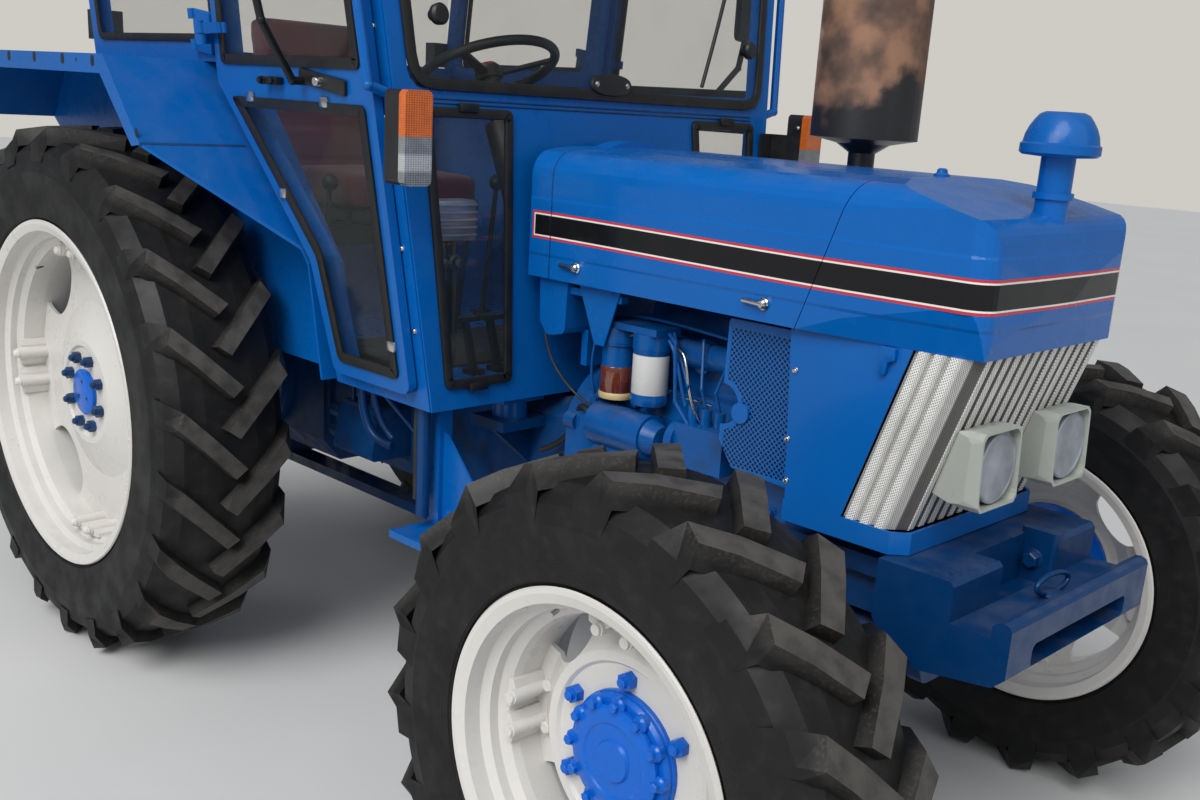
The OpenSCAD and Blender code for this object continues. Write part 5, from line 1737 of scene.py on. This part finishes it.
@dataclass
class Cab(Assembly):
    """The glazed cab: seals, knobs, hinges, mirrors, lamps and fenders."""

    dressing = {"cab_frame": Look.CAB, "cab_roof": Look.ROOF, "front_wall": Look.CAB, "floor_pan": Look.CAB,
                "cab_glass": Look.PANE, "fenders": Look.CAB, "lamps": Look.PLASTIC, "door_left": Look.DOOR,
                "door_right": Look.DOOR, "door_glass_left": Look.PANE, "door_glass_right": Look.PANE}
    seal_width: float = 0.022
    seal_depth: float = 0.010
    screen_heights: tuple[float, float] = (1638.0, 2286.0)
    screen_foot: float = 598.0
    quarter_pane: Pairs = ((340, 986), (535, 986), (568, 1604), (312, 1604))
    quarter_clips: Pairs = ((446, 1604), (446, 988))
    lower_pane: Pairs = ((640, 1600), (962, 1250), (1022, 1008), (1259.8, 1008), (1197.6, 1600))
    upper_pane: Pairs = ((605, 1672), (1190, 1672), (1125, 2272), (605, 2272))
    pane_clips: Pairs = ((730, 1601), (1046, 1601), (838, 1385), (1241, 1083))
    rear_pane: Pairs = ((-121, 1721), (541, 1721), (541, 2290), (-121, 2290))
    mirror_face: Pairs = ((790, 1845), (926, 1845), (926, 2075), (790, 2075))
    mirror_shell: Pairs = ((783, 1837), (933, 1837), (933, 2083), (783, 2083))
    handle_plate: Pairs = ((956, 1640), (1134, 1616), (1137, 1650), (958, 1672))
    hinge_plate: Pairs = ((452, 1700), (532, 1690), (538, 1790), (456, 1800))
    post_bolts: Pairs = ((1226, 1576), (1238, 1496), (1262, 1300), (1290, 1120), (1206, 1760), (1186, 1980),
                         (1166, 2180))
    flange_y: float = 905.2
    flange_slots: tuple[tuple[float, float, float, float], ...] = (
        (-460, 1661, 10, 13), (-290, 1661, 10, 13), (-110, 1661, 10, 13), (60, 1661, 10, 13),
        (236, 1660, 10, 13), (317, 1659, 4, 5), (409, 1658, 10, 13), (628, 1503, 6, 10))
    fender_fold: Pairs = ((632, 1481), (902, 1481), (904, 1476), (630, 1476))

    def on_flank(self, side: Side, corners: Pairs, out: float, radius: float) -> Outline:
        """An outline on the cab's side plane, out millimetres from it, with softened corners."""
        return corners_softened([LAYOUT.on_side(side, x, z, out) for x, z in corners], radius)

    def boxed(self, name: str, middle: Vector, half: tuple[float, float, float],
              round_by: float) -> Piece:
        """A small rounded block about a point, with half sizes in metres."""
        return block_form(name, middle - Vector(half), middle + Vector(half), round_by)

    def windscreen(self) -> None:
        """Seal round the windscreen and the two quarter windows, on the front wall."""
        depth = LAYOUT.wall_normal() * self.seal_depth
        low, high = self.screen_heights
        top = LAYOUT.cab_foot + 1350 * math.tan(math.radians(LAYOUT.side_lean)) - 46 + 2
        corners = ((-self.screen_foot, low), (self.screen_foot, low), (top, high), (-top, high))
        outline = [LAYOUT.on_wall(y, z, -1) for y, z in corners]
        seal = frame_form("windscreen_seal", corners_softened(outline, 0.07), self.seal_width + 0.004, depth,
                          0.003)
        hang(seal, "tractor", Look.SEAL)
        for side in Side:
            outline = [LAYOUT.on_wall(side.value * y, z, -1) for y, z in self.quarter_pane]
            seal = frame_form(f"quarter_seal_{side.word}", corners_softened(outline, 0.02), self.seal_width,
                              depth, 0.003)
            hang(seal, "tractor", Look.SEAL)

    def door_seals(self, side: Side) -> None:
        """Seals round both panes of a door and the bright clips that hold the lower pane.

        Args:
            side: The side.
        """
        body = f"door_{side.word}"
        depth = LAYOUT.side_normal(side) * 0.007
        parts = [frame_form("seal", self.on_flank(side, corners, 26, 0.02), 0.024, depth, 0.002)
                 for corners in (self.lower_pane, self.upper_pane)]
        hang(joined(f"door_seals_{side.word}", parts), body, Look.SEAL)
        clips = [self.boxed("clip", LAYOUT.on_side(side, x, z, 31), (0.016, 0.005, 0.012), 0.003)
                 for x, z in self.pane_clips]
        hang(joined(f"door_clips_{side.word}", clips), body, Look.BRIGHT)

    def side_seals(self, side: Side) -> None:
        """Seal round the rear side window.

        Args:
            side: The side.
        """
        seal = frame_form(f"rear_side_seal_{side.word}", self.on_flank(side, self.rear_pane, 0, 0.03), 0.02,
                          LAYOUT.side_normal(side) * 0.006, 0.002)
        hang(seal, "tractor", Look.SEAL)

    def mirror(self, side: Side) -> None:
        """Mirror glass, its rim and the clamp on the door's waist rail.

        Args:
            side: The side.
        """
        body = f"door_{side.word}"
        k = side.value
        face = [LAYOUT.at(999.5, k * y, z) for y, z in self.mirror_face]
        glass = plate_form(f"mirror_glass_{side.word}", corners_softened(face, 0.02), AHEAD * -0.0015)
        hang(glass, body, Look.MIRROR)
        shell = [LAYOUT.at(1004, k * y, z) for y, z in self.mirror_shell]
        rim = frame_form(f"mirror_rim_{side.word}", corners_softened(shell, 0.025), 0.010, AHEAD * -0.009,
                         0.002)
        hang(rim, body, Look.PLASTIC)
        spot = LAYOUT.on_side(side, 846, 1641, 40)
        clamp = self.boxed("clamp", spot, (0.035, 0.011, 0.009), 0.004)
        heads = [spot + Vector((dx, k * 0.010, 0)) for dx in (-0.024, 0.024)]
        bolts = repeated("bolts", hexagon_bolt("bolt", 0.008, 0.009), all_standing(heads, side.out(1)))
        hang(joined(f"mirror_clamp_{side.word}", [clamp, bolts]), body, Look.BLACK_METAL)

    def door_gear(self, side: Side) -> None:
        """Outside handle with its lock barrel.

        Args:
            side: The side.
        """
        normal = LAYOUT.side_normal(side)
        base = plate_form(f"door_handle_{side.word}", self.on_flank(side, self.handle_plate, 27, 0.006),
                          normal * 0.010, 0.003)
        barrel = [(0.011, 0.0), (0.011, 0.016), (0.009, 0.019), (0.003, 0.019)]
        lock = stood_form(f"door_lock_{side.word}", barrel, LAYOUT.on_side(side, 1046, 1645, 34), normal, 20)
        hang(base, f"door_{side.word}", Look.PLASTIC)
        hang(lock, f"door_{side.word}", Look.BRIGHT)

    def hinge_blocks(self, side: Side) -> None:
        """A folded plate with two rolled eyes at the foot of the rear side window.

        Args:
            side: The side.
        """
        plate = plate_form("plate", self.on_flank(side, self.hinge_plate, 3, 0.006),
                           LAYOUT.side_normal(side) * 0.012, 0.003)
        eyes = [hose_form("eye", [LAYOUT.on_side(side, 452, z, 14), LAYOUT.on_side(side, 451, z + 24, 14)],
                          0.010) for z in (1704, 1776)]
        hang(joined(f"window_hinge_{side.word}", [plate, *eyes]), "tractor", Look.CAB)

    def screen_knobs(self) -> None:
        """Four knobs on the screen's side edges."""
        normal = LAYOUT.wall_normal()
        knob = turned_form("knob", [(0.012, -0.004), (0.012, 0.010), (0.022, 0.014), (0.023, 0.026),
                                    (0.018, 0.032), (0.004, 0.033)], 24)
        spots = [LAYOUT.on_wall(s * 527, z, 2) for s in (1, -1) for z in (1792, 2150)]
        hang(repeated("screen_knobs", knob, all_standing(spots, normal)), "tractor", Look.PLASTIC)

    def wiper(self) -> None:
        """Wiper arm, blade and pivot."""
        arm = hose_form("arm", [LAYOUT.on_wall(392, 2272, 10), LAYOUT.on_wall(396, 2258, 24),
                                LAYOUT.on_wall(410, 2080, 18), LAYOUT.on_wall(432, 1930, 14)], 0.0045)
        blade = hose_form("blade", [LAYOUT.on_wall(470, 2010, 9), LAYOUT.on_wall(436, 1900, 8),
                                    LAYOUT.on_wall(346, 1690, 8)], 0.0052)
        pivot = stood_form("pivot", [(0.020, -0.004), (0.020, 0.012), (0.012, 0.020)],
                           LAYOUT.on_wall(390, 2288, 2), LAYOUT.wall_normal(), 24)
        hang(joined("wiper", [arm, blade, pivot]), "tractor", Look.BLACK_METAL)

    def screen_plate(self) -> None:
        """The blank dark oval plate at the screen's foot, with two screws."""
        normal = LAYOUT.wall_normal()
        y, z = 3, 1676
        turns = [k * math.tau / 36 for k in range(36)]
        oval = [LAYOUT.on_wall(y + 78 * math.cos(t) * (1 - 0.12 * math.cos(t) ** 4), z + 26 * math.sin(t), 4)
                for t in turns]
        plate = plate_form("screen_plate", oval, normal * 0.012, 0.004)
        screws = repeated("screen_plate_screws", dome_bolt("screw", 0.006, 0.004),
                          all_standing([LAYOUT.on_wall(y + dy, z, 16) for dy in (-52, 52)], normal))
        hang(plate, "tractor", Look.PLASTIC)
        hang(screws, "tractor", Look.BRIGHT)

    def wall_trim(self) -> None:
        """Two slim dark lines of painted shade along the front wall's pressed beads, and the quarter windows'
        clips.
        """
        # Painted shade: thin dark navy rods laid along the two pressed beads of the front wall.
        beads = [hose_form("bead", [LAYOUT.on_wall(y, z, 0.2) for y in (-560, 0, 560)], 0.0022)
                 for z in (1621, 1612)]
        hang(joined("wall_bead_shade_lines", beads), "tractor", Look.NUTS)
        for side in Side:
            clips = []
            for y, z in self.quarter_clips:
                near = LAYOUT.on_wall(side.value * y - 26, z - 9, 4)
                far = LAYOUT.on_wall(side.value * y + 26, z + 9, 20)
                low, high = Vector(map(min, near, far)), Vector(map(max, near, far))
                clips.append(block_form("clip", low, high, 0.003))
            hang(joined(f"quarter_clips_{side.word}", clips), "tractor", Look.BLACK_METAL)

    def under_floor(self) -> None:
        """Pipes and a thin rod that hang below the right side of the floor."""
        for run in (
            Run("floor_pipe_rear", ((742, -352, 938), (738, -356, 850), (752, -352, 760), (790, -344, 716),
                (850, -330, 712)), 0.012, Look.CASTINGS),
            Run("floor_pipe_front", ((800, -366, 938), (806, -368, 850), (830, -360, 772), (872, -344, 742)),
                0.009, Look.CASTINGS),
            Run("floor_rod", ((905, -452, 936), (960, -400, 850), (1020, -342, 752)), 0.006, Look.CASTINGS),
            Run("hanger_tube", ((1258, -536, 938), (1258, -537, 800), (1258, -536, 668)), 0.0165,
                Look.CASTINGS),
            Run("hanger_hose", ((1228, -530, 938), (1222, -534, 860), (1230, -532, 780), (1222, -528, 700)),
                0.008, Look.HOSE),
        ):
            run.lay()

    def bolts(self, side: Side) -> None:
        """Bolts down the cab's post and behind the marker lamp.

        Args:
            side: The side.
        """
        posts = [LAYOUT.on_side(side, x, z, 0.5) for x, z in self.post_bolts]
        hang(repeated(f"post_bolts_{side.word}", dome_bolt("bolt", 0.0065, 0.005),
                      all_standing(posts, LAYOUT.side_normal(side))), "tractor", Look.BRIGHT)
        lamps = [LAYOUT.at(1368, side.value * 642, z) for z in (1480, 1600)]
        hang(repeated(f"lamp_bolts_{side.word}", dome_bolt("bolt", 0.006, 0.005),
                      all_standing(lamps, side.out(-1))), "tractor", Look.BRIGHT)

    def fender_marks(self, side: Side) -> None:
        """Dark slots along the fender's flange, and a dark strip of painted shade along the fold across its
        slope.

        Args:
            side: The side.
        """
        slots = []
        for x, z, half, tall in self.flange_slots:
            spot = LAYOUT.at(x, side.value * self.flange_y, z)
            corners = [spot + Vector((dx * MM, 0, dz * MM))
                       for dx, dz in ((-half, -tall), (half, -tall), (half, tall), (-half, tall))]
            slots.append(plate_form("slot", corners_softened(corners, half * MM), side.out(-0.0008)))
        hang(joined(f"flange_slots_{side.word}", slots), "tractor", Look.BLACK_METAL)
        # Painted shade: a thin dark plate laid along the fender's fold line.
        slope = 408 / 459
        fold = [LAYOUT.at(465 + (1675 - z) * slope + 0.8, side.value * y, z) for y, z in self.fender_fold]
        hang(plate_form(f"fender_fold_{side.word}", fold, Vector((-0.002, 0, -0.0018))), "tractor", Look.NUTS)

    def build(self) -> None:
        """All of the cab's own pieces."""
        self.windscreen()
        for side in Side:
            for part in (self.door_seals, self.side_seals, self.mirror, self.door_gear, self.hinge_blocks):
                part(side)
        self.screen_knobs()
        self.wiper()
        self.screen_plate()
        self.wall_trim()
        self.under_floor()
        for side in Side:
            self.bolts(side)
            self.fender_marks(side)


@dataclass
class Interior(Assembly):
    """Seat, dashboard and controls."""

    dressing = {"console": Look.PLASTIC, "seat_base": Look.BLACK_METAL, "steering_wheel": Look.PLASTIC}
    pull_in: float = 0.008
    voxel: float = 0.012
    seam_width: float = 0.006
    seam_depth: float = 0.006
    back_lean: float = -0.03
    column_tilt: float = 25.0

    def solid_copy(self, name: str, node: str) -> Piece:
        """A free copy of a CAD solid with merged points.

        Args:
            name: Name of the piece.
            node: Node to copy.

        Returns:
            The free copy.
        """
        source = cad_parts[node]
        piece = source.copy()
        piece.data = source.data.copy()
        bpy.context.collection.objects.link(piece)
        piece.parent = None
        piece.name = piece.data.name = name
        for key in list(piece.keys()):
            del piece[key]
        return outward(piece)

    def evened(self, piece: Piece) -> Piece:
        """Pulls a copy in a little, remeshes it evenly and eases its edges.

        Args:
            piece: The piece.

        Returns:
            The same piece.
        """
        with editing(piece):
            bpy.ops.mesh.select_all(action="SELECT")
            bpy.ops.transform.shrink_fatten(value=-self.pull_in)
        select_only(piece)
        remesh = piece.modifiers.new("even", "REMESH")
        remesh.mode = "VOXEL"
        remesh.voxel_size = self.voxel
        bpy.ops.object.modifier_apply(modifier=remesh.name)
        easing = piece.modifiers.new("ease", "SMOOTH")
        easing.factor = 0.6
        easing.iterations = 14
        bpy.ops.object.modifier_apply(modifier=easing.name)
        return piece

    def crowned(self, piece: Piece, node: str, crown: float, facing: int, across: int,
                seams: Sequence[float], lean: float = 0.0) -> Piece:
        """Swells the face that a driver touches and sinks its sewn seams.

        Args:
            piece: The evened copy.
            node: Node that gives the cushion's box.
            crown: Height of the crowning over the middle, in metres.
            facing: Axis that the face looks along, 0 for X or 2 for Z.
            across: Axis that the seams are counted along.
            seams: Places of the seams from the middle, in metres.
            lean: How far the face leans back along X from its middle to its top, in metres.

        Returns:
            The same piece.
        """
        low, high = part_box(node)
        middle, half = (low + high) / 2, (high - low) / 2
        first, second = (axis for axis in range(3) if axis != facing)
        along = first if across == second else second
        for vertex in piece.data.vertices:
            off = vertex.co - middle
            share = [off[axis] / half[axis] for axis in range(3)]
            if off[facing] - share[2] * lean <= 0:
                continue
            swell = max(0.0, 1 - share[first] ** 2) * max(0.0, 1 - share[second] ** 2)
            sewn = sum(math.exp(-((off[across] - seam) / self.seam_width) ** 2) for seam in seams)
            vertex.co[facing] += crown * swell - self.seam_depth * sewn * (1 - abs(share[along]) ** 6)
        return piece

    def padded(self, piece: Piece, node: str) -> None:
        """Smooths a crowned cushion and lets it stand for its node.

        Args:
            piece: The piece.
            node: Node that it stands for.
        """
        select_only(piece)
        finer = piece.modifiers.new("finer", "SUBSURF")
        finer.levels = finer.render_levels = 1
        bpy.ops.object.modifier_apply(modifier=finer.name)
        shaded(piece, 60)
        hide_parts(node)
        hang(piece, "tractor", Look.CLOTH)

    def cushions(self) -> None:
        """The seat's cushion, with seams from front to back, and its back with level seams."""
        cushion = self.evened(self.solid_copy("driver_cushion", "seat_cushion"))
        self.padded(self.crowned(cushion, "seat_cushion", 0.012, 2, 1, (-0.09, 0.0, 0.09)), "seat_cushion")
        back = self.evened(self.solid_copy("driver_back", "seat_back"))
        self.padded(self.crowned(back, "seat_back", 0.014, 0, 2, (-0.15, -0.05, 0.05, 0.15), self.back_lean),
                    "seat_back")

    def controls(self) -> None:
        """The steering wheel's red centre and three dials on the console."""
        tilt = math.radians(self.column_tilt)
        badge = stood_form("wheel_badge", [(0.031, 0.0035), (0.031, 0.010), (0.026, 0.015), (0.006, 0.016)],
                           LAYOUT.at(800, 0, 1700), Vector((-math.sin(tilt), 0, math.cos(tilt))))
        hang(badge, "steering_wheel", Look.RED)
        face = [(0.030, 0.0), (0.030, 0.006), (0.027, 0.007), (0.027, 0.003), (0.004, 0.003)]
        dials = [stood_form("dial", face, LAYOUT.at(1108, y, 1456), Vector((-0.5, 0, 1)), 28)
                 for y in (-70, 0, 70)]
        hang(joined("dash_dials", dials), "tractor", Look.BLACK_METAL)

    def heater(self) -> None:
        """Finned heater box with its hoses and taps, behind the right quarter window."""
        box = [block_form("box", LAYOUT.at(1196, -548, 1310), LAYOUT.at(1252, -392, 1402), 0.006)]
        box += [block_form("fin", LAYOUT.at(1250, -542, z), LAYOUT.at(1262, -398, z + 5), 0.001)
                for z in range(1322, 1407, 17)]
        hang(joined("heater_box", box), "tractor", Look.FINNED)
        for k, (y, drop) in enumerate(((-440, 1010), (-470, 1000), (-505, 1004))):
            Run(f"heater_hose_{k + 1}", ((1226, y, 1314), (1240, y - 6, 1240), (1236, y + 10 * k, 1120),
                                         (1228, y + 6 * k, drop)), 0.011, Look.HOSE).lay()
        tap = turned_form("tap", [(0.018, -0.016), (0.018, 0.004), (0.012, 0.008), (0.012, 0.020),
                                  (0.006, 0.024)], 20)
        spots = [LAYOUT.at(1240, y, 1262) for y in (-446, -488)]
        hang(repeated("heater_taps", tap, all_standing(spots, AHEAD)), "tractor", Look.WORN_STEEL)

    def build(self) -> None:
        """Cushions, controls, heater and the floor mat."""
        self.cushions()
        self.controls()
        self.heater()
        mat = block_form("floor_mat", LAYOUT.at(640, -440, 958), LAYOUT.at(1040, 440, 966), 0.003)
        hang(mat, "tractor", Look.MAT)


@dataclass
class Rear(Assembly):
    """Three-point linkage, drawbar and rear lamps."""

    dressing = {"tow_hitch": Look.CASTINGS, "lift_arms": Look.CASTINGS, "lower_links": Look.WORN_STEEL,
                "lift_rods": Look.WORN_STEEL}
    lens_y: float = 600.0
    lens_half: float = 34.0

    def build(self) -> None:
        """Tail lamp lenses."""
        for side in Side:
            y = side.value * self.lens_y
            low, high = LAYOUT.at(-226, y - self.lens_half, 1730), LAYOUT.at(-216, y + self.lens_half, 1798)
            hang(block_form(f"tail_lens_{side.word}", low, high, 0.003), "tractor", Look.RED)


@dataclass
class Studio:
    """Floor, light and the camera that stands where the photograph was taken."""

    eye: tuple[float, float, float] = (3511.0, -2252.0, 1628.0)
    yaw: float = 133.91
    pitch: float = -15.63
    roll: float = 3.6
    lens: float = 37.386
    shift: tuple[float, float] = (-0.0075, 0.0461)

    def camera(self) -> None:
        """Sets the camera at the photograph's place and angle."""
        yaw, pitch, roll = (math.radians(a) for a in (self.yaw, self.pitch, self.roll))
        ahead = Vector((math.cos(pitch) * math.cos(yaw), math.cos(pitch) * math.sin(yaw), math.sin(pitch)))
        level = Vector((math.sin(yaw), -math.cos(yaw), 0))
        above = level.cross(ahead)
        right = level * math.cos(roll) + above * math.sin(roll)
        up = above * math.cos(roll) - level * math.sin(roll)
        data = bpy.data.cameras.new("photo_camera")
        data.lens = self.lens
        data.sensor_width = 36.0
        data.sensor_fit = "HORIZONTAL"
        data.shift_x, data.shift_y = self.shift
        data.clip_end = 200.0
        camera = bpy.data.objects.new("photo_camera", data)
        bpy.context.collection.objects.link(camera)
        turn = Matrix((right, up, -ahead)).transposed().to_4x4()
        camera.matrix_world = Matrix.Translation(LAYOUT.at(*self.eye)) @ turn
        bpy.context.scene.camera = camera

    def floor(self) -> None:
        """A wide pale floor."""
        clear_selection()
        bpy.ops.mesh.primitive_plane_add(size=60, location=(0, 0, 0))
        floor = settle(newest("studio_floor"))
        recipe = Recipe("studio_floor")
        colour = recipe.mixed(recipe.noise(0.8, 3), (0.60, 0.60, 0.59), (0.66, 0.66, 0.65))
        rough = recipe.span(recipe.noise(3.0), 0.3, 0.7, 0.7, 0.85)
        floor.data.materials.append(recipe.finish(colour, rough))

    def new_light(self, name: str, kind: str, energy: float) -> Piece:
        """A light of one kind and strength, in the scene.

        Args:
            name: Name of the light.
            kind: Blender's word for its kind.
            energy: Watts, or strength of a sun.

        Returns:
            The light.
        """
        data = bpy.data.lights.new(name, kind)
        data.energy = energy
        light = bpy.data.objects.new(name, data)
        bpy.context.collection.objects.link(light)
        return light

    def lamp(self, name: str, place: tuple[float, float, float], size: float, power: float,
             aim: tuple[float, float, float] = (0.2, 0.0, 0.9)) -> None:
        """A soft square light that looks at a point.

        Args:
            name: Name of the light.
            place: Where it stands, in metres.
            size: Edge length in metres.
            power: Watts.
            aim: The point that it faces.
        """
        light = self.new_light(name, "AREA", power)
        light.data.shape = "SQUARE"
        light.data.size = size
        turn = (Vector(aim) - Vector(place)).to_track_quat("-Z", "Y").to_matrix().to_4x4()
        light.matrix_world = Matrix.Translation(Vector(place)) @ turn

    def sun(self, name: str, towards: tuple[float, float, float], strength: float, spread: float) -> None:
        """A broad even light from one direction.

        Args:
            name: Name of the light.
            towards: Direction in which the light travels.
            strength: Strength of the light.
            spread: Angular width in degrees.
        """
        light = self.new_light(name, "SUN", strength)
        light.data.angle = math.radians(spread)
        light.matrix_world = Vector(towards).to_track_quat("-Z", "Y").to_matrix().to_4x4()

    def world(self) -> None:
        """Even grey light, with a pale background for the camera and through glass."""
        world = bpy.data.worlds.new("studio_world")
        bpy.context.scene.world = world
        world.use_nodes = True
        nodes, links = world.node_tree.nodes, world.node_tree.links
        back = nodes["Background"]
        back.inputs["Color"].default_value = (0.86, 0.90, 0.96, 1)
        back.inputs["Strength"].default_value = 0.30
        pale = nodes.new("ShaderNodeBackground")
        pale.inputs["Color"].default_value = (0.62, 0.60, 0.56, 1)
        pale.inputs["Strength"].default_value = 1.0
        path = nodes.new("ShaderNodeLightPath")
        either = nodes.new("ShaderNodeMath")
        either.operation = "MAXIMUM"
        links.new(path.outputs["Is Camera Ray"], either.inputs[0])
        links.new(path.outputs["Is Transmission Ray"], either.inputs[1])
        mix = nodes.new("ShaderNodeMixShader")
        links.new(either.outputs[0], mix.inputs[0])
        links.new(back.outputs[0], mix.inputs[1])
        links.new(pale.outputs[0], mix.inputs[2])
        links.new(mix.outputs[0], nodes["World Output"].inputs["Surface"])

    def build(self) -> None:
        """Builds the whole studio."""
        self.camera()
        self.floor()
        self.world()
        self.sun("key_sun", (-0.25, 0.62, -0.74), 1.9, 40)
        self.sun("front_sun", (-0.8, 0.1, -0.55), 0.5, 60)
        self.lamp("window_light", (1.5, -5.5, 4.2), 3.0, 120)
        bpy.context.scene.view_settings.view_transform = "Standard"


def main() -> None:
    """Builds and dresses the sub-assemblies in order."""
    logging.basicConfig(level=logging.INFO, format="%(message)s")
    assemblies: list[Assembly] = [*(FrontWheel(side) for side in Side), *(RearWheel(side) for side in Side),
                                  Hood(), FrontEnd(), EngineBay(), Cab(), Interior(), Rear()]
    for assembly in assemblies:
        assembly.make()
    Studio().build()


if __name__ == "__main__":
    main()
